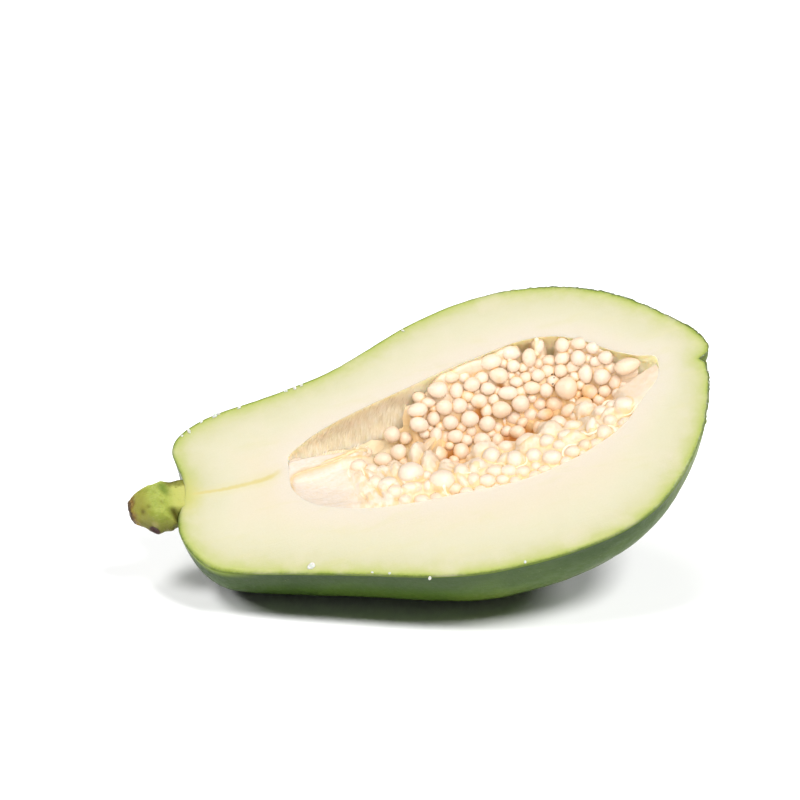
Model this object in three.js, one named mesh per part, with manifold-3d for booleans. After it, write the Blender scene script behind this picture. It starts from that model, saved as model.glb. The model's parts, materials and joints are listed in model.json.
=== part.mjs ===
// Half of a green papaya, cut lengthwise, lying on its rounded back with the cut face
// up and tilted. Millimetres, +Z up, +X from the stem end to the blossom end.
//
// The fruit is drawn in its own frame first: x runs along the core from the stem (0) to
// the blossom end, y runs across the cut face (minus = near edge, plus = far edge) and z
// points out of the cut face, which is the plane z = 0. The body is below it. At the end
// everything is turned by the resting pose and set down on z = 0.
import * as THREE from 'three';
import { mergeVertices } from 'three/addons/utils/BufferGeometryUtils.js';
import Module from 'manifold-3d';

// ---------------------------------------------------------------- driving dimensions
const PITCH_DEG = 13.0;        // blossom end raised, because neck and belly both touch
const ROLL_DEG = 28.0;         // cut face leans towards -Y
const FLAT_DEPTH = 1.2;        // height of the small flat spot pressed into the skin
const ORIGIN_SHIFT = [-81.577, 1.106, 30.405]; // puts the middle of the box's base at the origin

const GAP = 0.3;               // clearance between separate pieces

// outline of the cut face: [x, distance from the core line], stem pole to blossom pole
const FAR_EDGE = [[1.5,0],[2.7,4.0],[2.5,9.5],[1.6,15.3],[1.2,21.0],[3.1,25.0],[7.2,28.0],[12.9,30.2],
  [20.3,31.6],[27.4,32.1],[34.6,32.5],[41.9,33.1],[49.3,34.1],[56.5,35.1],[64.2,37.0],[72.0,39.6],
  [79.9,42.5],[87.7,45.1],[95.5,47.1],[103.1,48.6],[110.5,49.4],[117.8,49.6],[124.9,49.2],[131.9,48.2],
  [138.7,46.7],[145.4,44.5],[151.8,41.7],[158.1,38.3],[164.0,34.0],[169.5,28.8],[174.9,23.0],[180.0,16.9],
  [183.7,11.6],[185.7,6.6],[185.9,3.0],[184.6,1.0],[183.1,0]];
const NEAR_EDGE = [[1.5,0],[-1.0,4.0],[-2.4,8.6],[-2.2,12.8],[-0.8,18.1],[1.5,23.2],[4.3,27.2],[7.8,30.2],
  [13.9,33.0],[20.3,35.2],[26.6,37.3],[32.9,39.4],[39.1,41.5],[45.4,43.6],[51.6,45.8],[57.8,48.0],
  [64.0,50.3],[70.1,52.5],[76.3,54.5],[82.6,56.2],[88.9,57.5],[95.5,58.4],[102.0,58.9],[108.6,59.2],
  [115.2,59.2],[122.1,58.8],[129.1,58.1],[136.1,56.9],[143.6,54.6],[151.6,50.7],[156.0,47.6],[160.6,43.6],
  [166.8,37.1],[171.8,30.4],[175.5,24.3],[178.8,16.9],[181.7,9.5],[182.8,4.5],[183.1,0]];
// depth of the back as a share of the mean half width, along x
const BACK_X = [0, 25, 55, 85, 105, 120, 140, 160, 184];
const BACK_K = [1.14, 1.13, 1.05, 0.985, 0.96, 0.91, 0.79, 0.64, 0.56];
const LOBES = 5;               // five carpels give five soft ridges along the fruit
const LOBE_HEIGHT = 0.03;      // ridge height as a share of the radius
const LOBE_PHASE_DEG = 20;     // first ridge, measured from the near edge round the back

// seed cavity, about a line of its own from CAV_A to CAV_B on the cut face
const CAV_A = [37.6, -1.5], CAV_B = [168.2, 4.0];
const CAV_FAR = [[38.2,1.8],[38.8,5.8],[44.6,10.0],[50.2,12.6],[55.4,14.4],[65.8,17.0],[76.3,19.2],[86.7,21.2],
  [96.6,23.3],[102.4,24.3],[111.2,25.4],[114.5,25.9],[123.9,27.0],[130.9,26.6],[139.8,24.2],[147.9,18.9],
  [154.7,12.9],[161.4,8.5],[168.1,4.9]];
const CAV_NEAR = [[37.5,-6.3],[39.9,-11.2],[43.8,-14.9],[51.2,-18.8],[59.1,-21.7],[70.5,-24.0],[78.9,-24.9],
  [86.3,-25.5],[95.7,-26.3],[102.6,-27.0],[109.4,-27.3],[118.9,-26.7],[127.3,-25.3],[134.5,-23.5],
  [138.7,-22.0],[146.3,-18.9],[151.8,-15.4],[156.1,-11.6],[160.3,-7.7],[165.6,-3.0],[167.7,2.0]];
const CAV_BACK_X = [0, 20, 50, 80, 100, 131];
const CAV_BACK_K = [0.95, 1.0, 1.0, 1.0, 0.95, 0.8];
const CAV_LOBE_HEIGHT = 0.05;

// pulp that carries the seeds: depth below the face as a share of the cavity depth,
// against t across the cavity (0 near rim, 1 far rim), with a valley along the middle
const BED_T = [0, 0.10, 0.24, 0.36, 0.46, 0.56, 0.66, 0.80, 0.92, 1.0];
const BED_D = [0.15, 0.15, 0.19, 0.32, 0.56, 0.66, 0.58, 0.38, 0.22, 0.14];
const CAV_DEPTH_X = [38, 45, 60, 80, 100, 120, 135, 150, 160, 168];
const CAV_DEPTH = [3, 11, 19, 23.5, 25.5, 26, 24, 18, 11, 2];
const VALLEY_T = 0.52;         // the two banks of seeds meet here
// towards the stem the pulp rises to a low septum between a shallow near lobe and a deep far lobe
const SEPTUM_X = [38, 46, 52, 58, 64, 72, 80];
const SEPTUM_Y = [2.6, 2.2, 1.6, 1.0, 0.3, -0.5, -1.5];
const SEPTUM_Z = [-0.9, -1.1, -1.7, -2.7, -4.3, -7.5, -12];
const SEPTUM_HALF = 1.6;       // half width of its top
const NEAR_LOBE_X = [38, 44, 52, 60, 68, 80];
const NEAR_LOBE_Z = [-0.9, -2.4, -3.2, -3.6, -4.0, -5.0];
const FAR_LOBE = 0.62;         // floor of the far lobe as a share of the cavity depth

// stem stub: [x, centre y, centre z, half width, half height, top trim z]
const STEM_RINGS = [
  [3.6, 0.0, 0.0, 7.4, 7.4, 0.0],
  [1.0, 0.0, 0.0, 7.7, 7.6, 0.1],
  [-2.0, 0.0, 0.0, 8.2, 7.9, 1.6],
  [-5.5, 0.1, 0.2, 8.8, 8.1, 5.2],
  [-9.0, 0.4, 0.3, 8.1, 7.6, 7.4],
  [-12.5, 1.2, 0.3, 6.4, 6.4, 9],
  [-15.4, 2.1, 0.2, 4.3, 4.6, 9],
  [-17.4, 2.6, 0.0, 2.2, 2.5, 9]];
const STEM_SCAR = [-9.6, -6.6, 1.2, 2.4];   // x, y, z and radius of the flower-stalk scar

// every seed: [x, y, z of its middle, half length, half width, turn in degrees];
// long axes turn in the plane of SEED_E1 and SEED_E2
const SEED_E1 = [0.9629, -0.2394, -0.1245], SEED_E2 = [0.2675, 0.7866, 0.5565];
const SEEDS = [
  [61.1, -3.0, -3.0, 2.6, 2.2, 0], [64.7, -11.1, -5.2, 2, 2, 0], [64.4, 3.3, -5.8, 2.2, 1.7, 10], [64.6, -5.6, -4.3, 2.2, 2.1, 0],
  [68.8, -13.6, -4.1, 2.3, 1.8, 0], [69.5, -0.4, -7.1, 2.9, 2.3, 0], [70.3, -17.3, -3.7, 2.2, 1.8, 0], [72.1, -6.4, -7.6, 2, 2.9, -10],
  [74.9, 9.9, -9.3, 2.7, 2.7, 0], [75.4, 2.4, -9.7, 2.7, 2.7, 0], [75.7, -17.6, -4, 2.7, 1.5, 0], [76.5, -1.1, -11.5, 2, 1.9, 0],
  [77, -11.4, -5.2, 3.4, 3, 20], [79, 9.3, -12.6, 2.1, 2.1, 0], [81.5, -18.3, -4, 1.7, 2, 0], [82.3, 3.3, -13.8, 2.9, 3.1, 30],
  [83.9, -1.1, -14.8, 2.4, 2.2, 0], [84.7, 10.4, -8.5, 3.1, 2.6, -15], [85.6, 14.8, -6.3, 3.3, 2.4, 12], [86.4, -17.8, -2.8, 3.7, 3.3, 0],
  [87, 7.4, -15.6, 2.1, 1.9, 0], [88.2, 0.8, -15, 3.1, 2.9, 0], [89.1, -10.3, -6.8, 2, 2.5, 0], [89.4, 6.9, -12.6, 2, 2.7, -10],
  [89.6, -21.5, -3.8, 2, 1.7, 0], [89.8, 17, -6.8, 2.4, 1.7, 0], [90.2, 12.3, -10.2, 2.2, 2.4, 0], [92.7, 7.4, -15.9, 2.1, 2.1, 0],
  [93.2, -16.6, -3.8, 2.3, 3.1, 5], [94.2, 19.1, -4.1, 3.3, 2.7, 0], [94.8, 13.9, -7.6, 2.7, 2.6, 0], [95.3, 9.5, -11.1, 2.6, 2.4, 0],
  [95.7, 5.3, -14, 2.7, 2.3, 0], [96.2, -0.6, -15, 2.7, 2.7, 0], [96.5, -20.4, -3.8, 2, 2.3, 0], [99.3, -14.9, -4.4, 2.5, 2.2, 0],
  [99.7, 22.9, -4.1, 2.9, 2.1, 5], [99.9, 13.5, -8.6, 2.6, 2.5, 0], [100.3, 18.2, -6.5, 2.2, 2.7, 0], [100.6, -22, -3.8, 2.5, 2, 0],
  [101.5, 7, -15.9, 1.9, 2.2, 0], [102.1, 9, -11.5, 2.9, 2.7, 0], [104.1, -19.2, -4, 2.5, 2, 0], [104.2, 1.7, -15.8, 3, 2.7, -20],
  [104.7, -11.6, -6.1, 2.6, 2.7, 0], [105.8, -23.1, -4, 2, 1.5, 0], [106, 18.6, -5.8, 2.7, 2.4, 20], [106.8, 13.6, -9.3, 2.7, 2.4, 0],
  [107.5, 6.7, -13.9, 2.7, 2.6, 0], [108.4, 10.8, -12.2, 2, 2.2, 0], [108.4, -20.6, -3.8, 2.5, 2, 0], [109.3, 0.2, -15.8, 1.9, 2.4, 0],
  [109.7, 20.9, -7.1, 2.7, 2.2, 25], [110.6, -7.6, -9, 2.2, 1.9, 0], [110.6, 6.8, -18.2, 2.1, 2.1, 0], [111, 16.7, -8, 2.6, 2.1, 0],
  [111.8, -17, -3.7, 2.8, 2.8, 0], [111.9, 13.7, -10.9, 1.9, 1.9, 0], [112.9, -22.4, -3.7, 2.2, 1.8, 0], [113.4, 9.8, -12.3, 3.3, 2.8, 0],
  [113.9, 9.3, -19, 2.1, 2.1, 0], [114.5, 24.2, -3.8, 3.6, 2.6, 8], [115.8, 19.4, -6, 3.1, 2.6, -10], [116.6, 1.5, -16, 2.6, 2.2, 0],
  [117.1, 8.2, -17.1, 2.4, 2.2, 0], [117.2, 14, -9.8, 3.3, 2.3, 0], [117.8, -10.3, -6.2, 3.4, 3, 0], [118.1, -17.2, -4.1, 2.3, 2.2, 0],
  [120.1, -23.9, -4, 2, 1.5, 0], [120.4, 10, -12.3, 2.9, 2.8, 0], [121.1, 16.9, -9, 2.2, 1.7, 0], [121.5, 21.5, -5.8, 2.2, 2.1, 0],
  [121.9, 25.5, -3.6, 3.1, 2.4, -8], [122.8, 8.3, -18.1, 2.6, 2.2, 0], [123.5, 0.5, -15.3, 1.5, 2.2, 0], [123.7, -20.5, -3.2, 2.8, 2.3, 0],
  [124, -12.9, -4.7, 2.4, 2.2, 0], [124.6, 17.7, -9.1, 2.1, 1.9, 0], [125.6, -2.1, -13.2, 2.6, 2.4, 0], [125.7, 13.8, -10.5, 2.9, 2.2, 0],
  [127.1, 10.1, -15.9, 2.2, 2.1, 0], [127.5, 5.2, -15.6, 2.6, 1.9, 10], [127.5, -15.9, -4.5, 2.2, 1.7, 0], [127.6, 22.5, -5, 2.3, 3.1, 0],
  [128.8, 16.5, -8.2, 2.2, 2.1, 0], [130.1, 11.9, -11.5, 2.2, 2.4, 0], [130.5, -2.9, -11.4, 3, 2.6, -30], [130.8, -20.4, -3.3, 2.2, 1.8, 0],
  [131.5, -13.2, -4, 3.2, 1.7, 0], [131.6, 8.2, -15.6, 2.8, 2.5, 0], [132, 25.4, -4, 1.7, 2.6, -10], [132.5, 17.7, -8.9, 2.4, 2.1, 0],
  [133.3, 14.2, -10.4, 2.1, 1.9, 0], [134.1, 21.4, -8.6, 2.4, 2.1, 0], [134.1, -8.4, -6.4, 2.5, 1.7, 0], [135.3, -19.2, -3.2, 1.8, 1.8, 0],
  [135.9, 3, -14.4, 2.9, 2.4, 15], [136.8, 15.9, -8.3, 2.2, 2.2, 0], [136.9, 9.9, -10.5, 3.6, 3.8, 0], [137.1, -2, -11.5, 2.2, 1.7, 0],
  [139.4, -13.1, -3.5, 1.5, 3.2, -8], [139.7, 22.6, -3.2, 2.4, 2.5, 0], [141.1, 3.5, -13.2, 2.8, 2.4, 0], [141.2, 16, -8.1, 2.6, 2.1, 30],
  [142.8, -17, -2.5, 2.3, 2.4, 0], [142.8, -0.6, -11.7, 2.1, 2.1, 0], [143.5, 16.5, -4.5, 2.4, 2.6, 0], [144.1, 6.5, -11.3, 2.7, 2.5, 0],
  [144.4, 11.6, -7.9, 2.3, 3.1, 0], [144.8, -7, -5, 2.4, 2, 0], [145.1, 20.6, -1.9, 2.6, 2.1, 0], [146.1, -12.3, -3.6, 2, 1.9, 0],
  [148.9, 13.7, -5.3, 2.1, 1.7, 0], [149, -6.1, -5, 2.2, 1.9, 0], [149.1, 17.5, -2.2, 2.2, 2.1, 0], [149.1, 4.8, -10.9, 2.2, 2.1, 0],
  [149.3, 8.2, -7.2, 2.8, 2.7, 0], [152.1, 12.5, -2.8, 2.4, 2.2, 0], [152.9, -8.6, -2.7, 3.4, 2.4, -15], [152.9, 2, -10.1, 2.1, 1.7, 20],
  [153, 5.6, -9, 2.1, 2.5, 0], [157.9, 6.6, -2.5, 4.2, 2.7, 18], [158.4, 2.1, -8, 2.4, 1.7, 35]];
// seed clusters: [name, side, x from, x to]
const CLUSTERS = [
  ['seeds_stem_end', 'both', 41, 66],
  ['seeds_near_1', 'near', 66, 90], ['seeds_near_2', 'near', 90, 112],
  ['seeds_near_3', 'near', 112, 134], ['seeds_near_4', 'near', 134, 162],
  ['seeds_far_1', 'far', 66, 84], ['seeds_far_2', 'far', 84, 104], ['seeds_far_3', 'far', 104, 124],
  ['seeds_far_4', 'far', 124, 145], ['seeds_far_5', 'far', 145, 166]];

// mesh steps
const SKIN_U = 44, SKIN_A = 16, CAV_U = 26, CAV_A_STEPS = 10, STEM_SIDES = 12, SEED_SIDES = 6, SEED_RINGS = 4;
const BED_STEPS = { both: [7, 14], near: [4, 5], far: [4, 5] };   // along and across

// ---------------------------------------------------------------- curves and sampling
const rad = (d) => d * Math.PI / 180;
const clamp = (v, a, b) => Math.max(a, Math.min(b, v));
function interp(x, xs, ys) {
  if (x <= xs[0]) return ys[0];
  for (let i = 1; i < xs.length; i++) {
    if (x <= xs[i]) return ys[i - 1] + (ys[i] - ys[i - 1]) * (x - xs[i - 1]) / (xs[i] - xs[i - 1]);
  }
  return ys[ys.length - 1];
}
// cubic curve through 2-D points, by chord length, s from 0 to 1
function curve(pts) {
  const n = pts.length, d = [], t = [0], m = pts.map(() => [0, 0]);
  for (let i = 0; i < n - 1; i++) {
    d.push(Math.hypot(pts[i + 1][0] - pts[i][0], pts[i + 1][1] - pts[i][1]));
    t.push(t[i] + d[i]);
  }
  for (let k = 0; k < 2; k++) {
    for (let i = 1; i < n - 1; i++) {
      m[i][k] = ((pts[i][k] - pts[i - 1][k]) / d[i - 1] * d[i] + (pts[i + 1][k] - pts[i][k]) / d[i] * d[i - 1]) / (d[i] + d[i - 1]);
    }
    m[0][k] = (pts[1][k] - pts[0][k]) / d[0];
    m[n - 1][k] = (pts[n - 1][k] - pts[n - 2][k]) / d[n - 2];
  }
  return (s) => {
    const q = clamp(s, 0, 1) * t[n - 1];
    let i = 0;
    while (i < n - 2 && q >= t[i + 1]) i++;
    const h = d[i], u = (q - t[i]) / h;
    const a = 2 * u ** 3 - 3 * u ** 2 + 1, b = u ** 3 - 2 * u ** 2 + u, c = -2 * u ** 3 + 3 * u ** 2, e = u ** 3 - u ** 2;
    return [0, 1].map((k) => a * pts[i][k] + b * h * m[i][k] + c * pts[i + 1][k] + e * h * m[i + 1][k]);
  };
}
// One point of a half body. The far and near outlines give the radius at both edges, the
// section between them swings through the back, with soft ridges and its own depth.
function halfPoint(far, near, u, al, lobe, kx, kk, inset) {
  const f = far(u), n = near(u), w = (1 - Math.cos(al)) / 2, ph = rad(LOBE_PHASE_DEG);
  const x = f[0] * w + n[0] * (1 - w);
  const e0 = 1 + lobe * Math.cos(LOBES * ph), e1 = 1 + lobe * Math.cos(LOBES * (Math.PI - ph));
  let r = (f[1] * w + n[1] * (1 - w)) * (1 + lobe * Math.cos(LOBES * (al - ph))) / (e0 * (1 - w) + e1 * w) - inset;
  r = Math.max(r, 0);
  return [x, -r * Math.cos(al), -r * Math.sin(al) * interp(x, kx, kk)];
}
const skinFar = curve(FAR_EDGE), skinNear = curve(NEAR_EDGE);
const skinPoint = (u, al) => halfPoint(skinFar, skinNear, u, al, LOBE_HEIGHT, BACK_X, BACK_K, 0);

const cavDx = CAV_B[0] - CAV_A[0], cavDy = CAV_B[1] - CAV_A[1], cavLen = Math.hypot(cavDx, cavDy);
const cavU = [cavDx / cavLen, cavDy / cavLen];
const intoCavity = ([x, y]) => {
  const a = x - CAV_A[0], b = y - CAV_A[1];
  return [a * cavU[0] + b * cavU[1], -a * cavU[1] + b * cavU[0]];
};
const cavFar = curve([[0, 0], ...CAV_FAR.map(intoCavity), [cavLen, 0]]);
const cavNear = curve([[0, 0], ...CAV_NEAR.map(intoCavity).map(([x, y]) => [x, -y]), [cavLen, 0]]);
function cavityPoint(u, al, inset) {
  const [x, y, z] = halfPoint(cavFar, cavNear, u, al, CAV_LOBE_HEIGHT, CAV_BACK_X, CAV_BACK_K, inset);
  return [CAV_A[0] + x * cavU[0] - y * cavU[1], CAV_A[1] + x * cavU[1] + y * cavU[0], z];
}
// near and far rim of the cavity at x, on the cut face
const rimSamples = [];
for (let i = 0; i <= 300; i++) rimSamples.push([cavityPoint(i / 300, 0, 0), cavityPoint(i / 300, Math.PI, 0)]);
function rims(x) {
  const near = interp(x, rimSamples.map((p) => p[0][0]), rimSamples.map((p) => p[0][1]));
  const far = interp(x, rimSamples.map((p) => p[1][0]), rimSamples.map((p) => p[1][1]));
  return [near, far];
}
function bedHeight(x, t) {
  const open = clamp((78 - x) / 18, 0, 1) * clamp((t - 0.42) / 0.2, 0, 1);
  const base = -interp(x, CAV_DEPTH_X, CAV_DEPTH) * interp(t, BED_T, BED_D) - 8 * open;
  const [yn, yf] = rims(x), v = yn + (yf - yn) * t - interp(x, SEPTUM_X, SEPTUM_Y);
  const top = interp(x, SEPTUM_X, SEPTUM_Z), low = interp(x, NEAR_LOBE_X, NEAR_LOBE_Z);
  const high = v < 0 ? top + (low - top) * clamp((-v - SEPTUM_HALF) / 1.6, 0, 1)
    : top + (-FAR_LOBE * interp(x, CAV_DEPTH_X, CAV_DEPTH) - top) * clamp((v - SEPTUM_HALF) / 4, 0, 1);
  const w = clamp((80 - x) / 18, 0, 1);
  return w * high + (1 - w) * base;
}

// ---------------------------------------------------------------- closed meshes
function meshFrom(points, faces) {
  const g = new THREE.BufferGeometry();
  g.setAttribute('position', new THREE.Float32BufferAttribute(points.flat(), 3));
  g.setIndex(faces.flat());
  return g;
}
// half body closed by a flat lid, or by walls up to z = lid and a lid there
function halfBody(point, nu, na, lid) {
  const pts = [point(0, Math.PI / 2)], faces = [], row = (i) => 1 + (i - 1) * (na + 1);
  pts[0][2] = 0;
  for (let i = 1; i < nu; i++) for (let j = 0; j <= na; j++) pts.push(point(i / nu, Math.PI * j / na));
  const end = pts.length, last = point(1, Math.PI / 2);
  last[2] = 0;
  pts.push(last);
  for (let j = 0; j < na; j++) {
    faces.push([0, row(1) + j + 1, row(1) + j], [end, row(nu - 1) + j, row(nu - 1) + j + 1]);
    for (let i = 1; i < nu - 1; i++) {
      const a = row(i) + j, b = row(i + 1) + j;
      faces.push([a, a + 1, b], [a + 1, b + 1, b]);
    }
  }
  // outline, seen from +z: near edge from the stem to the blossom end, far edge back
  let rim = [0];
  for (let i = 1; i < nu; i++) rim.push(row(i));
  rim.push(end);
  for (let i = nu - 1; i >= 1; i--) rim.push(row(i) + na);
  if (lid > 0) {
    const top = rim.map((k) => { pts.push([pts[k][0], pts[k][1], lid]); return pts.length - 1; });
    rim.forEach((k, i) => {
      const j = (i + 1) % rim.length;
      faces.push([k, rim[j], top[j]], [k, top[j], top[i]]);
    });
    rim = top;
  }
  const flat = rim.map((k) => new THREE.Vector2(pts[k][0], pts[k][1]));
  THREE.ShapeUtils.triangulateShape(flat, []).forEach((f) => faces.push(f.map((k) => rim[k])));
  return meshFrom(pts, faces);
}
// closed tube through rings of equal count, with a fan at each end
function loft(rings) {
  const n = rings[0].length, pts = rings.flat(), faces = [];
  for (let i = 0; i < rings.length - 1; i++) {
    for (let j = 0; j < n; j++) {
      const a = i * n + j, b = i * n + (j + 1) % n;
      faces.push([a, a + n, b], [b, a + n, b + n]);
    }
  }
  for (const [ring, turn] of [[0, true], [rings.length - 1, false]]) {
    const c = [0, 1, 2].map((k) => rings[ring].reduce((s, p) => s + p[k], 0) / n);
    pts.push(c);
    for (let j = 0; j < n; j++) {
      const a = ring * n + j, b = ring * n + (j + 1) % n;
      faces.push(turn ? [a, b, pts.length - 1] : [b, a, pts.length - 1]);
    }
  }
  return meshFrom(pts, faces);
}
function seedGeometry([x, y, z, a, b, turn], grow) {
  const g = new THREE.SphereGeometry(1, SEED_SIDES, SEED_RINGS), c = Math.cos(rad(turn)), s = Math.sin(rad(turn));
  const e1 = new THREE.Vector3(...SEED_E1).normalize();
  const e2 = new THREE.Vector3(...SEED_E2).addScaledVector(e1, -e1.dot(new THREE.Vector3(...SEED_E2))).normalize();
  const e3 = e1.clone().cross(e2);
  const la = e1.clone().multiplyScalar(c).addScaledVector(e2, s);
  const lb = e2.clone().multiplyScalar(c).addScaledVector(e1, -s);
  const m = new THREE.Matrix4().makeBasis(la.multiplyScalar(a + grow), lb.multiplyScalar(b + grow), e3.multiplyScalar(Math.min(a, b) + grow));
  m.setPosition(x, y, z);
  return g.applyMatrix4(m);
}
// block of pulp under one cluster: a height field over x from..to and t from..to
function bedGeometry(x0, x1, t0, t1, BED_U, BED_V) {
  const pts = [], faces = [], nv = BED_V + 1, top = (i, j) => i * nv + j, low = (i, j) => (BED_U + 1) * nv + i * nv + j;
  const at = (i, j, z) => {
    const x = x0 + (x1 - x0) * i / BED_U, t = t0 + (t1 - t0) * j / BED_V, [yn, yf] = rims(x);
    return [x, yn + (yf - yn) * t, z === undefined ? bedHeight(x, clamp(t, 0, 1)) : z];
  };
  for (let i = 0; i <= BED_U; i++) for (let j = 0; j <= BED_V; j++) pts.push(at(i, j));
  for (let i = 0; i <= BED_U; i++) for (let j = 0; j <= BED_V; j++) pts.push(at(i, j, -45));
  const quad = (a, b, c, d) => faces.push([a, b, c], [a, c, d]);
  for (let i = 0; i < BED_U; i++) {
    for (let j = 0; j < BED_V; j++) {
      quad(top(i, j), top(i + 1, j), top(i + 1, j + 1), top(i, j + 1));
      quad(low(i, j), low(i, j + 1), low(i + 1, j + 1), low(i + 1, j));
    }
    quad(low(i, 0), low(i + 1, 0), top(i + 1, 0), top(i, 0));
    quad(low(i + 1, BED_V), low(i, BED_V), top(i, BED_V), top(i + 1, BED_V));
  }
  for (let j = 0; j < BED_V; j++) {
    quad(low(0, j + 1), low(0, j), top(0, j), top(0, j + 1));
    quad(low(BED_U, j), low(BED_U, j + 1), top(BED_U, j + 1), top(BED_U, j));
  }
  return meshFrom(pts, faces);
}

// ---------------------------------------------------------------- solids
const wasm = await Module();
wasm.setup();
function solid(geometry) {
  let g = geometry.clone();
  g.deleteAttribute('normal');
  g.deleteAttribute('uv');
  g = mergeVertices(g, 1e-4);
  return new wasm.Manifold(new wasm.Mesh({
    numProp: 3,
    vertProperties: new Float32Array(g.attributes.position.array),
    triVerts: new Uint32Array(g.index.array),
  }));
}
// back to a geometry, keeping the largest connected body only
function geometryOf(manifold) {
  const mesh = manifold.getMesh(), n = mesh.vertProperties.length / mesh.numProp, pos = [];
  for (let i = 0; i < n; i++) for (let k = 0; k < 3; k++) pos.push(mesh.vertProperties[i * mesh.numProp + k]);
  let g = new THREE.BufferGeometry();
  g.setAttribute('position', new THREE.Float32BufferAttribute(pos, 3));
  g.setIndex(Array.from(mesh.triVerts));
  g = mergeVertices(g, 1e-3);
  const idx = g.index.array, parent = Array.from({ length: g.attributes.position.count }, (_, i) => i);
  const root = (i) => { while (parent[i] !== i) { parent[i] = parent[parent[i]]; i = parent[i]; } return i; };
  const keepable = [];
  for (let i = 0; i < idx.length; i += 3) {
    const [a, b, c] = [idx[i], idx[i + 1], idx[i + 2]];
    if (a === b || b === c || a === c) continue;
    keepable.push([a, b, c]);
    parent[root(a)] = root(b);
    parent[root(b)] = root(c);
  }
  const count = {};
  keepable.forEach((f) => { count[root(f[0])] = (count[root(f[0])] || 0) + 1; });
  const best = Number(Object.keys(count).sort((p, q) => count[q] - count[p])[0]);
  g.setIndex(keepable.filter((f) => root(f[0]) === best).flat());
  return g;
}

// resting pose: fruit frame to part frame
const p = rad(PITCH_DEG), q = rad(ROLL_DEG);
const AX = new THREE.Vector3(Math.cos(p), 0, Math.sin(p));
const N0 = new THREE.Vector3(-Math.sin(p), 0, Math.cos(p));
const NZ = N0.clone().multiplyScalar(Math.cos(q)).add(new THREE.Vector3(0, -Math.sin(q), 0));
const WY = NZ.clone().cross(AX);
const REST = new THREE.Matrix4().makeBasis(AX, WY, NZ);
REST.setPosition(...ORIGIN_SHIFT);
const unturn = REST.clone().invert();

// fruit: outer body, less the seed cavity and the socket of the stem
const stemRings = (grow) => STEM_RINGS.map(([x, cy, cz, ry, rz, cap], i) => {
  const ring = [];
  for (let k = 0; k < STEM_SIDES; k++) {
    const a = 2 * Math.PI * k / STEM_SIDES;
    const knob = 1 + 0.05 * Math.sin(3 * a + 0.9 * i) * (x < 0 ? 1 : 0);
    ring.push([x + (i === 0 ? grow : 0), cy + (ry * knob + grow) * Math.cos(a), Math.min(cz + (rz * knob + grow) * Math.sin(a), cap + (grow > 0 ? 12 : 0))]);
  }
  return ring;
});
const floorBox = new THREE.BoxGeometry(600, 600, 600);
floorBox.applyMatrix4(new THREE.Matrix4().makeTranslation(0, 0, 300));
floorBox.applyMatrix4(unturn);
const above = solid(floorBox);

const body = solid(halfBody(skinPoint, SKIN_U, SKIN_A, 0));
const cavity = solid(halfBody((u, al) => cavityPoint(u, al, 0), CAV_U, CAV_A_STEPS, 8));
const cavityInner = solid(halfBody((u, al) => cavityPoint(u, al, GAP + 0.1), CAV_U, CAV_A_STEPS, 8));
const socket = solid(loft(stemRings(GAP).filter((r, i) => i < 5)));
const fruit = body.subtract(cavity).subtract(socket).intersect(above);

// stem, with the scar of a flower stalk on its near side
const [sx, sy, sz, sr] = STEM_SCAR;
const scar = new THREE.SphereGeometry(sr, 8, 6);
scar.translate(sx, sy, sz);
const stem = solid(loft(stemRings(0))).add(solid(scar));

// seeds of a cluster grow out of its pulp, and leave room for the next cluster's seeds
const clusterOf = (seed) => {
  const [yn, yf] = rims(seed[0]), side = (seed[1] - yn) / (yf - yn) < VALLEY_T ? 'near' : 'far';
  const list = CLUSTERS.filter((c) => c[1] === side || c[1] === 'both');
  return (list.find((c) => seed[0] < c[3]) || list[list.length - 1])[0];
};
const unite = (list) => list.reduce((a, b) => a.add(b));
const owned = new Map(CLUSTERS.map((c) => [c[0], []]));
SEEDS.forEach((s) => owned.get(clusterOf(s)).push(s));
const touches = (a, b) => a[2] - 8 < b[3] && b[2] - 8 < a[3];
const clusterSolids = CLUSTERS.map((c, k) => {
  const [name, side, x0, x1] = c, half = GAP / 2 + 0.02;
  const wide = rims((x0 + x1) / 2), dt = half / (wide[1] - wide[0]);
  const [t0, t1] = { both: [-0.06, 1.06], near: [-0.06, VALLEY_T - dt], far: [VALLEY_T + dt, 1.06] }[side];
  let pulp = solid(bedGeometry(x0 + half, x1 - half, t0, t1, ...BED_STEPS[side]));
  let seeds = unite(owned.get(name).map((s) => solid(seedGeometry(s, 0))));
  CLUSTERS.forEach((d, j) => {
    if (j === k || !touches(c, d)) return;
    const room = unite(owned.get(d[0]).map((s) => solid(seedGeometry(s, GAP + 0.05))));
    pulp = pulp.subtract(room);
    if (j < k) seeds = seeds.subtract(room);
  });
  return [name, pulp.add(seeds).intersect(cavityInner)];
});

// ---------------------------------------------------------------- the model
const papaya = new THREE.Group();
function addNode(name, manifold, color, roughness) {
  const geometry = geometryOf(manifold);
  geometry.applyMatrix4(REST);
  const position = geometry.attributes.position;
  for (let i = 0; i < position.count; i++) if (Math.abs(position.getZ(i)) < 2e-4) position.setZ(i, 0);
  geometry.computeVertexNormals();
  const mesh = new THREE.Mesh(geometry, new THREE.MeshStandardMaterial({ color, roughness, metalness: 0 }));
  mesh.name = name;
  papaya.add(mesh);
}
addNode('fruit_half', fruit, 0xcfd98f, 0.5);
addNode('stem', stem, 0x8fa24e, 0.7);
clusterSolids.forEach(([name, s]) => addNode(name, s, name.includes('far') ? 0xf1dfc2 : 0xf6ead2, 0.45));

export default papaya;
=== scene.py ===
import json
import math
import bpy
import bmesh
import numpy as np
from mathutils import Vector, Matrix

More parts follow.
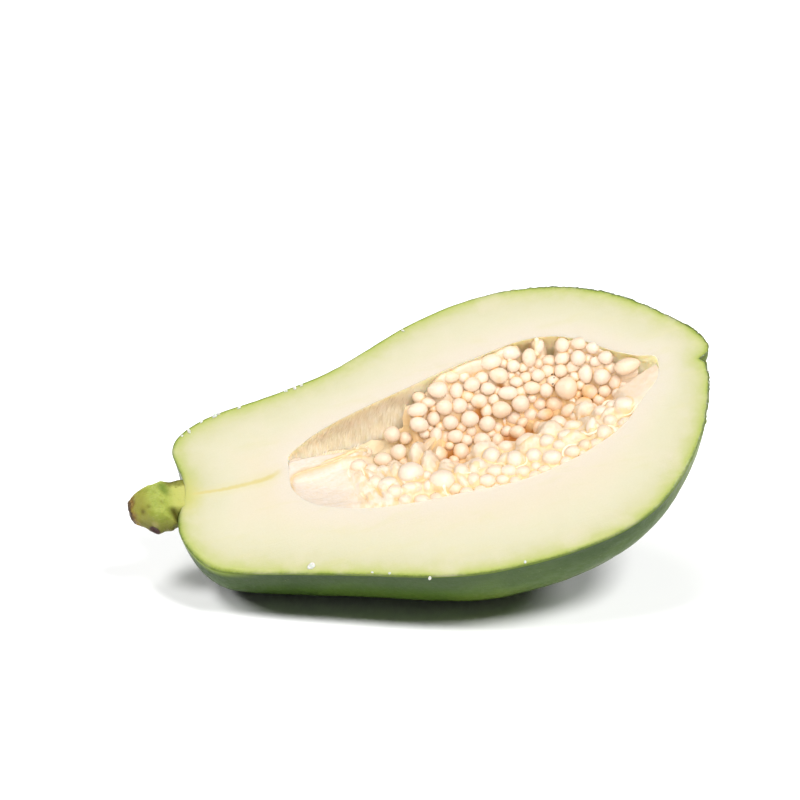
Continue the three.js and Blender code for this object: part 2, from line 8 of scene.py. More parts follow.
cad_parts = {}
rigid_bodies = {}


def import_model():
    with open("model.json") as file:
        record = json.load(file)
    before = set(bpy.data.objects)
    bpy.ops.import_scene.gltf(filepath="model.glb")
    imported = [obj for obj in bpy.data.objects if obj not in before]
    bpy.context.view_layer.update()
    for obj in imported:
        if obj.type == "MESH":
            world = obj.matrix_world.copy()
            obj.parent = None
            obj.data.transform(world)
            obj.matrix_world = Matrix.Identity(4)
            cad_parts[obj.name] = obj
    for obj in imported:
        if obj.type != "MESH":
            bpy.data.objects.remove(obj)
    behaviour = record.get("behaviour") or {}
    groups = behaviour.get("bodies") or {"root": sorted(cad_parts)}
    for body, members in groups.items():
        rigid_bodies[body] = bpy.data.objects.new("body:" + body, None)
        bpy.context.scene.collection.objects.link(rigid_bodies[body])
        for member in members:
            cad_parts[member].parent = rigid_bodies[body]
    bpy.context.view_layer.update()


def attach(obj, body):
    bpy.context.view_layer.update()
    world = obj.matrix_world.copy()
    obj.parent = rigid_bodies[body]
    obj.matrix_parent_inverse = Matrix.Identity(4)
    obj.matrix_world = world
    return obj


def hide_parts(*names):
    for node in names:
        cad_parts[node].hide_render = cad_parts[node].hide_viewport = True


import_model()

# ------------------------------------------------------------------ resting pose and shape
# Everything is drawn in the fruit's own frame, in millimetres: x along the core from the stem end,
# y across the cut face (minus = near edge), z out of the cut face. place() puts it in the row frame.
PITCH, ROLL = math.radians(13.0), math.radians(28.0)
SHIFT = np.array([-81.577, 1.106, 30.405])
_A = np.array([math.cos(PITCH), 0.0, math.sin(PITCH)])
_N0 = np.array([-math.sin(PITCH), 0.0, math.cos(PITCH)])
_N = math.cos(ROLL) * _N0 - math.sin(ROLL) * np.array([0.0, 1.0, 0.0])
_W = np.cross(_N, _A)
ROT = np.stack([_A, _W, _N], 1)


def place(p):
    return (np.asarray(p, float) @ ROT.T + SHIFT) * 0.001


def turn(v):
    return np.asarray(v, float) @ ROT.T


FAR_EDGE = [(1.5, 0), (2.7, 4.0), (2.5, 9.5), (1.6, 15.3), (1.2, 21.0), (3.1, 25.0), (7.2, 28.0), (12.9, 30.2),
    (20.3, 31.6), (27.4, 32.1), (34.6, 32.5), (41.9, 33.1), (49.3, 34.1), (56.5, 35.1), (64.2, 37.0), (72.0, 39.6),
    (79.9, 42.5), (87.7, 45.1), (95.5, 47.1), (103.1, 48.6), (110.5, 49.4), (117.8, 49.6), (124.9, 49.2), (131.9, 48.2),
    (138.7, 46.7), (145.4, 44.5), (151.8, 41.7), (158.1, 38.3), (164.0, 34.0), (169.5, 28.8), (174.9, 23.0), (180.0, 16.9),
    (183.7, 11.6), (185.7, 6.6), (185.9, 3.0), (184.6, 1.0), (183.1, 0)]
NEAR_EDGE = [(1.5, 0), (-1.0, 4.0), (-2.4, 8.6), (-2.2, 12.8), (-0.8, 18.1), (1.5, 23.2), (4.3, 27.2), (7.8, 30.2),
    (13.9, 33.0), (20.3, 35.2), (26.6, 37.3), (32.9, 39.4), (39.1, 41.5), (45.4, 43.6), (51.6, 45.8), (57.8, 48.0),
    (64.0, 50.3), (70.1, 52.5), (76.3, 54.5), (82.6, 56.2), (88.9, 57.5), (95.5, 58.4), (102.0, 58.9), (108.6, 59.2),
    (115.2, 59.2), (122.1, 58.8), (129.1, 58.1), (136.1, 56.9), (143.6, 54.6), (151.6, 50.7), (156.0, 47.6), (160.6, 43.6),
    (166.8, 37.1), (171.8, 30.4), (175.5, 24.3), (178.8, 16.9), (181.7, 9.5), (182.8, 4.5), (183.1, 0)]
BACK_X = [0, 25, 55, 85, 105, 120, 140, 160, 184]
BACK_K = [1.14, 1.13, 1.05, 0.985, 0.96, 0.91, 0.79, 0.64, 0.56]
RIDGE, LOBE = math.radians(20), 0.03
CAV_A, CAV_B = np.array([37.6, -1.5]), np.array([168.2, 4.0])
CAV_FAR = [(38.2, 1.8), (38.8, 5.8), (44.6, 10.0), (50.2, 12.6), (55.4, 14.4), (65.8, 17.0), (76.3, 19.2), (86.7, 21.2),
    (96.6, 23.3), (102.4, 24.3), (111.2, 25.4), (114.5, 25.9), (123.9, 27.0), (130.9, 26.6), (139.8, 24.2), (147.9, 18.9),
    (154.7, 12.9), (161.4, 8.5), (168.1, 4.9)]
CAV_NEAR = [(37.5, -6.3), (39.9, -11.2), (43.8, -14.9), (51.2, -18.8), (59.1, -21.7), (70.5, -24.0), (78.9, -24.9),
    (86.3, -25.5), (95.7, -26.3), (102.6, -27.0), (109.4, -27.3), (118.9, -26.7), (127.3, -25.3), (134.5, -23.5),
    (138.7, -22.0), (146.3, -18.9), (151.8, -15.4), (156.1, -11.6), (160.3, -7.7), (165.6, -3.0), (167.7, 2.0)]
CAV_X, CAV_K, CAV_LOBE = [0, 20, 50, 80, 100, 131], [0.95, 1.0, 1.0, 1.0, 0.95, 0.8], 0.05


def spline(pts):
    P = np.array(pts, float)
    d = np.linalg.norm(np.diff(P, axis=0), axis=1)
    t = np.concatenate([[0], np.cumsum(d)])
    m = np.zeros_like(P)
    for i in range(1, len(P) - 1):
        m[i] = ((P[i] - P[i - 1]) / d[i - 1] * d[i] + (P[i + 1] - P[i]) / d[i] * d[i - 1]) / (d[i] + d[i - 1])
    m[0], m[-1] = (P[1] - P[0]) / d[0], (P[-1] - P[-2]) / d[-1]

    def f(s):
        s = np.clip(np.asarray(s, float), 0, 1) * t[-1]
        i = np.clip(np.searchsorted(t, s, side="right") - 1, 0, len(P) - 2)
        h = d[i]
        u = (s - t[i]) / h
        a, b, c, e = 2*u**3 - 3*u**2 + 1, u**3 - 2*u**2 + u, -2*u**3 + 3*u**2, u**3 - u**2
        return a[..., None] * P[i] + (b * h)[..., None] * m[i] + c[..., None] * P[i + 1] + (e * h)[..., None] * m[i + 1]
    return f


def softinterp(x, X, K):
    """Smooth curve through the stations, so that no crease shows where they meet."""
    x = np.asarray(x, float)
    return sum(np.interp(x + o, X, K) for o in (-8, -5, -2.5, 0, 2.5, 5, 8)) / 7


def half(far, near, U, AL, lobe, X, K, soft=False):
    U, AL = np.broadcast_arrays(U, AL)
    a, b, w = far(U), near(U), (1 - np.cos(AL)) / 2
    x = a[..., 0] * w + b[..., 0] * (1 - w)
    r = a[..., 1] * w + b[..., 1] * (1 - w)
    e0, e1 = 1 + lobe * math.cos(5 * RIDGE), 1 + lobe * math.cos(5 * (math.pi - RIDGE))
    r = np.maximum(r * (1 + lobe * np.cos(5 * (AL - RIDGE))) / (e0 * (1 - w) + e1 * w), 0)
    kd = softinterp(x, X, K) if soft else np.interp(x, X, K)
    return np.stack([x, -r * np.cos(AL), -r * np.sin(AL) * kd], -1)


skin_far, skin_near = spline(FAR_EDGE), spline(NEAR_EDGE)
_cd = CAV_B - CAV_A
_cl = float(np.linalg.norm(_cd))
_cu = _cd / _cl
_cv = np.array([-_cu[1], _cu[0]])


def _into(p):
    q = np.array(p) - CAV_A
    return float(q @ _cu), float(q @ _cv)


cav_far = spline([(0, 0)] + [_into(p) for p in CAV_FAR] + [(_cl, 0)])
cav_near = spline([(0, 0)] + [(_into(p)[0], -_into(p)[1]) for p in CAV_NEAR] + [(_cl, 0)])


def skin_at(U, AL):
    return half(skin_far, skin_near, U, AL, LOBE, BACK_X, BACK_K, True)


def cavity_at(U, AL):
    G = half(cav_far, cav_near, U, AL, CAV_LOBE, CAV_X, CAV_K, True)
    return np.stack([CAV_A[0] + G[..., 0] * _cu[0] + G[..., 1] * _cv[0],
                     CAV_A[1] + G[..., 0] * _cu[1] + G[..., 1] * _cv[1], G[..., 2]], -1)


# ------------------------------------------------------------------ smooth noise, seeded
def _hash(ix, iy, iz, seed):
    h = (ix.astype(np.int64) * 374761393 + iy.astype(np.int64) * 668265263 + iz.astype(np.int64) * 1274126177
         + seed * 974711) & 0xFFFFFFFF
    h = ((h ^ (h >> 13)) * 1103515245) & 0xFFFFFFFF
    h = ((h ^ (h >> 16)) * 2246822519) & 0xFFFFFFFF
    h = h ^ (h >> 15)
    return (h & 0xFFFFFF) / float(0x7FFFFF) - 1.0


def noise(P, seed=0):
    P = np.asarray(P, float)
    I = np.floor(P).astype(np.int64)
    F = P - I
    F = F * F * F * (F * (F * 6 - 15) + 10)
    out = 0
    for dx in (0, 1):
        for dy in (0, 1):
            for dz in (0, 1):
                w = ((F[..., 0] if dx else 1 - F[..., 0]) * (F[..., 1] if dy else 1 - F[..., 1])
                     * (F[..., 2] if dz else 1 - F[..., 2]))
                out = out + w * _hash(I[..., 0] + dx, I[..., 1] + dy, I[..., 2] + dz, seed)
    return out


def fbm(P, octaves=3, seed=0):
    P, s, a, n = np.asarray(P, float), 0, 1.0, 0
    for k in range(octaves):
        s = s + a * noise(P * (2.03 ** k) + 17.3 * k, seed + 31 * k)
        n += a
        a *= 0.5
    return s / n


def sstep(a, b, x):
    t = np.clip((np.asarray(x, float) - a) / (b - a), 0, 1)
    return t * t * (3 - 2 * t)


def seg_dist(P, line, closed=False, chunk=4000):
    """Distance from 2-D points to a polyline."""
    Q = np.asarray(line, float)
    A, B = (Q, np.roll(Q, -1, 0)) if closed else (Q[:-1], Q[1:])
    D = B - A
    L = np.maximum((D ** 2).sum(1), 1e-12)
    out = np.empty(len(P))
    for s in range(0, len(P), chunk):
        p = P[s:s + chunk, None, :]
        t = np.clip(((p - A) * D).sum(-1) / L, 0, 1)
        out[s:s + chunk] = np.sqrt((((A + t[..., None] * D) - p) ** 2).sum(-1)).min(1)
    return out


# ------------------------------------------------------------------ mesh helpers
def make(name, verts_mm, faces, mats, mat_idx=None, attrs=None, node=None, smooth=True, recalc=True,
         world=False, normals=None):
    """One mesh object from points in the fruit frame."""
    V = np.asarray(verts_mm, float)
    P = V * 0.001 if world else place(V)
    me = bpy.data.meshes.new(name)
    me.from_pydata(P.tolist(), [], [tuple(int(k) for k in f) for f in faces])
    for m in mats:
        me.materials.append(m)
    if mat_idx is not None:
        me.polygons.foreach_set("material_index", np.asarray(mat_idx, np.int32))
    me.update()
    if recalc:
        bm = bmesh.new()
        bm.from_mesh(me)
        bmesh.ops.recalc_face_normals(bm, faces=bm.faces)
        bm.to_mesh(me)
        bm.free()
    a = me.attributes.new("loc", "FLOAT_VECTOR", "POINT")
    a.data.foreach_set("vector", V.astype(np.float32).ravel())
    for k, v in (attrs or {}).items():
        a = me.attributes.new(k, "FLOAT", "POINT")
        a.data.foreach_set("value", np.asarray(v, np.float32).ravel())
    if smooth:
        me.polygons.foreach_set("use_smooth", np.ones(len(me.polygons), bool))
    if normals is not None:
        me.normals_split_custom_set_from_vertices([tuple(n) for n in normals])
    me.update()
    o = bpy.data.objects.new(name, me)
    bpy.context.scene.collection.objects.link(o)
    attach(o, "root")
    if node:
        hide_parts(*([node] if isinstance(node, str) else node))
    return o


def smooth_path(pts, n):
    """n points, evenly spaced, on a smooth curve through pts (Catmull-Rom)."""
    P = np.array(pts, float)
    P = np.vstack([2 * P[0] - P[1], P, 2 * P[-1] - P[-2]])
    out = []
    for i in range(1, len(P) - 2):
        for t in np.linspace(0, 1, 12, endpoint=False):
            a, b, c, d = P[i - 1], P[i], P[i + 1], P[i + 2]
            out.append(0.5 * (2 * b + (c - a) * t + (2 * a - 5 * b + 4 * c - d) * t * t + (3 * b - a - 3 * c + d) * t ** 3))
    out.append(P[-2])
    out = np.array(out)
    s = np.concatenate([[0], np.cumsum(np.linalg.norm(np.diff(out, axis=0), axis=1))])
    q = np.linspace(0, s[-1], n)
    return np.stack([np.interp(q, s, out[:, k]) for k in range(out.shape[1])], 1)


def tube(path, radii, sides=8, flat=1.0, up=(0, 0, 1), seed=0, rough=0.0):
    """Closed tube along a path with a radius at each point and rounded ends. Returns verts, faces."""
    P = np.asarray(path, float)
    n = len(P)
    R = np.broadcast_to(np.asarray(radii, float), (n,))
    T = np.gradient(P, axis=0)
    T /= np.maximum(np.linalg.norm(T, axis=1, keepdims=True), 1e-9)
    up = np.asarray(up, float)
    S = np.cross(T, up)
    S /= np.maximum(np.linalg.norm(S, axis=1, keepdims=True), 1e-9)
    U = np.cross(S, T)
    ang = np.linspace(0, 2 * math.pi, sides, endpoint=False)
    V = (P[:, None] + (R[:, None] * np.cos(ang))[..., None] * S[:, None] + (flat * R[:, None] * np.sin(ang))[..., None] * U[:, None])
    V = V.reshape(-1, 3)
    if rough:
        ctr = np.repeat(P, sides, 0)
        V = ctr + (V - ctr) * (1 + rough * noise(V * 0.9 + 5, seed))[:, None]
    faces = []
    for i in range(n - 1):
        for j in range(sides):
            a, b = i * sides + j, i * sides + (j + 1) % sides
            faces.append((a, b, b + sides, a + sides))
    V = np.vstack([V, P[0] - T[0] * R[0] * 0.8, P[-1] + T[-1] * R[-1] * 0.8])
    c0, c1 = n * sides, n * sides + 1
    for j in range(sides):
        faces.append((c0, (j + 1) % sides, j))
        faces.append((c1, (n - 1) * sides + j, (n - 1) * sides + (j + 1) % sides))
    return V, faces


def join(parts):
    """Several (verts, faces) as one."""
    V, F, n = [], [], 0
    for v, f in parts:
        V.append(np.asarray(v, float))
        F.extend([tuple(k + n for k in q) for q in f])
        n += len(v)
    return np.vstack(V), F


def ico(level):
    bm = bmesh.new()
    bmesh.ops.create_icosphere(bm, subdivisions=level, radius=1.0)
    V = np.array([v.co[:] for v in bm.verts])
    F = [tuple(v.index for v in f.verts) for f in bm.faces]
    bm.free()
    return V / np.linalg.norm(V, axis=1, keepdims=True), F


# ------------------------------------------------------------------ the fruit: skin, cut face and cavity wall, one closed mesh
NU, NA, NK, NC = 300, 112, 34, 64


def rim_rows():
    """For each row along the fruit, where its line across the cut face meets the cavity rim, near and far."""
    U = np.linspace(0, 1, NU + 1)
    v = np.linspace(0, 1, 2001)
    X0 = [-2.5, 12, 30, 45, 60, 90, 130, 150, 165, 175, 186]
    X1 = [37.4, 38.6, 42, 50, 62, 91, 130, 147, 157, 162.5, 168.3]
    out = []
    for outer, al in ((skin_near, 0.0), (skin_far, math.pi)):
        xo = np.maximum.accumulate(outer(U)[:, 0])
        xi = np.maximum.accumulate(cavity_at(v, np.full_like(v, al))[:, 0]) + v * 1e-4
        w = np.interp(np.interp(xo, X0, X1), xi, v)
        w = 0.8 * w + 0.2 * U
        w[0], w[-1] = 0, 1
        for _ in range(30):
            w[1:-1] = (w[:-2] + w[1:-1] + w[2:]) / 3
        w = np.maximum.accumulate(w + U * 1e-5)
        out.append(w / w[-1])
    return U, out[0], out[1]


def build_fruit(mats):
    U, vn, vf = rim_rows()
    s = np.linspace(0, 1, NA + 1)
    al = math.pi * (0.35 * s + 0.65 * (1 - np.cos(math.pi * s)) / 2)
    S = skin_at(U[:, None], al[None, :])
    # lip of the peel just under the cut, ragged, mostly at the blossom end
    dn = -S[..., 2]
    ragged_n = fbm(np.stack([S[..., 0] * 0.42, S[..., 1] * 0.42, S[..., 2] * 0.1], -1), 3, 3)
    fine_n = fbm(np.stack([S[..., 0] * 1.1, S[..., 1] * 1.1, S[..., 2] * 0.1], -1), 2, 8)
    right = sstep(95, 150, S[..., 0]) * (S[..., 1] > 0) + sstep(166, 178, S[..., 0]) * (S[..., 1] <= 0)
    right = np.clip(right, 0, 1)
    band = np.exp(-((dn - 0.5) / 0.5) ** 2) + 0.35 * np.exp(-((dn - 1.3) / 0.8) ** 2)
    lip = band * (right * (0.26 + 0.34 * ragged_n + 0.3 * fine_n) + (1 - right) * 0.06 * (1 + ragged_n))
    nrm = np.zeros_like(S)
    du, da = np.gradient(S, axis=0), np.gradient(S, axis=1)
    nrm = np.cross(du, da)
    nrm /= np.maximum(np.linalg.norm(nrm, axis=-1, keepdims=True), 1e-9)
    ctr = np.stack([S[..., 0], S[..., 1] * 0, S[..., 2] * 0], -1)
    nrm *= np.sign(((S - ctr) * nrm).sum(-1, keepdims=True) + 1e-12)
    away = sstep(0.0, 3.0, dn)
    big = 0.35 * fbm(S * 0.055, 3, 21) * away
    dents = -0.22 * sstep(0.35, 0.8, fbm(S * np.array([0.09, 0.12, 0.12]), 2, 33)) * away
    pores = 0.03 * fbm(S * 0.9, 2, 44) * sstep(0.5, 2.0, dn)
    S = S + nrm * (lip + big + dents + pores)[..., None]
    # little wave of the cut outline itself
    edge = np.exp(-(dn / 0.9) ** 2)
    wave = fbm(np.stack([S[..., 0] * 0.16, S[..., 1] * 0.16, S[..., 2] * 0], -1), 2, 5)
    S[..., :2] += nrm[..., :2] * (edge * (0.10 * wave + 0.12 * right * fine_n))[..., None]
    # crease where the lobes meet at the blossom end
    crease = np.exp(-((S[..., 1] + 0.2) / 0.9) ** 2) * sstep(179, 183, S[..., 0]) * sstep(9, 0.5, dn)
    S[..., 0] -= 1.5 * crease
    S[:, 0, 2] = 0
    S[:, -1, 2] = 0
    S[0], S[-1] = S[0, NA // 2] * [1, 1, 0], S[-1, NA // 2] * [1, 1, 0]
    # cavity wall
    t = np.linspace(0, 1, NC + 1)
    ac = math.pi * (0.6 * t + 0.4 * (1 - np.cos(math.pi * t)) / 2)
    w = (1 - np.cos(ac)) / 2
    V = vn[:, None] * (1 - w) + vf[:, None] * w
    C = cavity_at(V, np.broadcast_to(ac, V.shape))
    depth = -C[..., 2]
    uu = C[..., 0]
    arc = np.broadcast_to(ac, V.shape) * 20
    fib = fbm(np.stack([uu * 0.55, arc * 0.10, arc * 0], -1), 3, 61)
    lump = fbm(C * 0.22, 3, 62)
    inn = np.stack([np.zeros_like(uu), -C[..., 1], -C[..., 2]], -1)
    inn /= np.maximum(np.linalg.norm(inn, axis=-1, keepdims=True), 1e-6)
    C = C + inn * ((0.28 * fib + 0.35 * lump) * sstep(0.3, 3.0, depth))[..., None]
    C[:, 0, 2] = 0
    C[:, -1, 2] = 0
    C[0], C[-1] = C[0, NC // 2] * [1, 1, 0], C[-1, NC // 2] * [1, 1, 0]

    verts, n = [], 0

    def add(P):
        nonlocal n
        P = np.asarray(P, float).reshape(-1, 3)
        verts.append(P)
        idx = np.arange(n, n + len(P))
        n += len(P)
        return idx

    SI = np.zeros((NU + 1, NA + 1), int)
    SI[0, :], SI[NU, :] = add(S[0, 0])[0], add(S[NU, 0])[0]
    SI[1:NU] = add(S[1:NU]).reshape(NU - 1, NA + 1)
    n_skin = n
    CI = np.zeros((NU + 1, NC + 1), int)
    CI[0, :], CI[NU, :] = add(C[0, 0])[0], add(C[NU, 0])[0]
    CI[1:NU] = add(C[1:NU]).reshape(NU - 1, NC + 1)
    n_cav = n
    # strips of the cut face between the outline and the cavity rim
    q = np.linspace(0, 1, NK + 1)
    wq = 0.10 + np.sin(math.pi * (q[:-1] + q[1:]) / 2) ** 1.2
    tk = np.concatenate([[0], np.cumsum(wq)]) / wq.sum()
    strips = []
    for side, (so, ci) in enumerate(((0, 0), (NA, NC))):
        O, I = S[:, so], C[:, ci]
        F = O[:, None] * (1 - tk[None, :, None]) + I[:, None] * tk[None, :, None]
        FI = np.zeros((NU + 1, NK + 1), int)
        FI[:, 0], FI[:, NK] = SI[:, so], CI[:, ci]
        if side == 0:
            FI[0, 1:NK], FI[NU, 1:NK] = add(F[0, 1:NK]), add(F[NU, 1:NK])
        else:
            FI[0, 1:NK], FI[NU, 1:NK] = strips[0][0, 1:NK], strips[0][NU, 1:NK]
        FI[1:NU, 1:NK] = add(F[1:NU, 1:NK]).reshape(NU - 1, NK - 1)
        strips.append(FI)
    P = np.vstack(verts)
    outline = np.vstack([S[:, 0, :2], S[::-1, NA, :2]])
    rim = np.vstack([C[:, 0, :2], C[::-1, NC, :2]])
    dskin, dcav = np.zeros(n), np.zeros(n)
    dskin[n_cav:] = seg_dist(P[n_cav:, :2], outline, True)
    dcav[n_cav:] = seg_dist(P[n_cav:, :2], rim, True)
    dskin[n_skin:n_cav] = seg_dist(P[n_skin:n_cav, :2], outline, True)
    dcav[:n_skin] = 30.0
    # relief of the cut face: rounded at both rims, faint knife waves, a raised lip of torn peel low on the left
    f = slice(n_cav, n)
    x, y = P[f, 0], P[f, 1]
    ds, dc = dskin[f], dcav[f]
    def rim_drop(x, y):
        """How far the cavity rim is rounded down: hardly at all round the near lobe of the stem end."""
        up = 3.2 * sstep(44, 40, x)
        return 0.38 - 0.33 * sstep(78, 62, x) * sstep(0.0, -1.8, y - 3.4 - up) - 0.27 * sstep(151, 157, x) * sstep(3.6, 2.4, y)

    def stem_join(x, y):
        """Where the slice of the stem runs into the cut face without a step."""
        return sstep(8, 5, x) * sstep(-3.2, -1.8, y) * sstep(9.6, 8.0, y)

    z = -0.30 * np.exp(-ds / 0.30) * (1 - stem_join(x, y)) - rim_drop(x, y) * np.exp(-dc / 0.7)
    inside = sstep(0.3, 3, ds) * sstep(0.2, 2, dc)
    z += inside * (0.10 * fbm(np.stack([x * 0.05, y * 0.09, x * 0], -1), 3, 71)
                   + 0.05 * noise(np.stack([(x + 0.5 * y) * 0.16, (y - 0.5 * x) * 0.02, x * 0], -1), 72))
    z -= 0.25 * np.exp(-((ds - 1.6) / 1.2) ** 2) * sstep(95, 150, x) * (y > 0)
    lipm = np.exp(-((ds - 1.5) / 0.45) ** 2) * sstep(-2, 3, x) * sstep(17, 12, x) * (y < -18)
    z += 0.55 * lipm
    z += 0.16 * np.exp(-((ds - 1.1) / 0.5) ** 2) * (y < -20) * sstep(18, 30, x) * np.clip(0.4 + noise(np.stack([x * 0.25, x * 0, x * 0], -1), 73), 0, 1)
    # faint hollow that runs from the stem to the cavity
    z -= 0.25 * np.exp(-((y - np.interp(x, [2, 9, 20, 30, 38], [3.2, 1.6, 0.3, 0.3, 2.4])) / 1.6) ** 2) * sstep(2, 6, x) * sstep(40, 34, x)
    P[f, 2] = z
    si = np.r_[SI[:, 0], SI[:, NA]]
    P[si, 2] = -0.30 * (1 - stem_join(P[si, 0], P[si, 1]))
    ri = np.r_[CI[:, 0], CI[:, NC]]
    P[ri, 2] = -rim_drop(P[ri, 0], P[ri, 1])
    faces, mi = [], []

    def quads(I, m, flip=False):
        a, b, c, d = I[:-1, :-1].ravel(), I[1:, :-1].ravel(), I[1:, 1:].ravel(), I[:-1, 1:].ravel()
        for p in zip(a.tolist(), b.tolist(), c.tolist(), d.tolist()):
            u = []
            for k in (p[::-1] if flip else p):
                if k not in u:
                    u.append(k)
            if len(u) > 2:
                faces.append(tuple(u))
                mi.append(m)
    quads(SI, 0)
    quads(strips[0], 1, True)
    quads(strips[1], 1)
    quads(CI, 2, True)
    W = P @ ROT.T + SHIFT
    low = (np.arange(n) < n_skin) & (W[:, 2] < 0)
    W[low, 2] = 0.0
    P2 = (W - SHIFT) @ ROT
    alv = np.zeros(n)
    alv[:n_skin] = np.concatenate([[math.pi / 2] * 2, np.broadcast_to(al, (NU - 1, NA + 1)).ravel()])
    alv[n_skin:n_cav] = np.concatenate([[math.pi / 2] * 2, np.broadcast_to(ac, (NU - 1, NC + 1)).ravel()])
    rag = np.zeros(n)
    rag[:n_skin] = np.concatenate([[1, 1], right[1:NU].ravel()])
    rag[f] = np.clip(sstep(95, 150, x) * (y > 0) + sstep(166, 178, x) * (y <= 0), 0, 1)
    deep = np.clip(-P[:, 2], 0, None)
    o = make("fruit", P2, faces, mats, mi,
             {"dskin": dskin, "dcav": dcav, "around": alv, "ragged": rag, "deep": deep}, "fruit_half")
    return o, outline, rim


# ------------------------------------------------------------------ stem stub
STEM = np.array([  # x, centre y, centre z, half width, half height, top of the slice
    (9.0, 0.6, -1.4, 4.6, 5.6, -1.6), (6.0, 0.7, -0.8, 6.4, 6.6, -0.9), (3.6, 1.0, 0.0, 7.9, 7.4, -0.30), (1.0, 0.9, 0.0, 8.4, 7.6, 0.10),
    (-2.0, 0.4, 0.0, 8.4, 7.9, 1.2), (-5.5, 0.1, 0.2, 8.6, 8.1, 5.0), (-9.0, 0.4, 0.3, 8.0, 7.6, 7.4),
    (-12.0, 1.0, 0.3, 6.7, 6.6, 9.0), (-14.0, 1.3, 0.25, 5.7, 5.6, 9.0), (-15.6, 1.4, 0.1, 4.7, 4.6, 9.0), (-16.7, 1.5, 0.0, 3.7, 3.5, 9.0),
    (-17.2, 1.5, 0.0, 2.4, 2.2, 9.0), (-17.1, 1.5, 0.0, 0.4, 0.4, 9.0)])


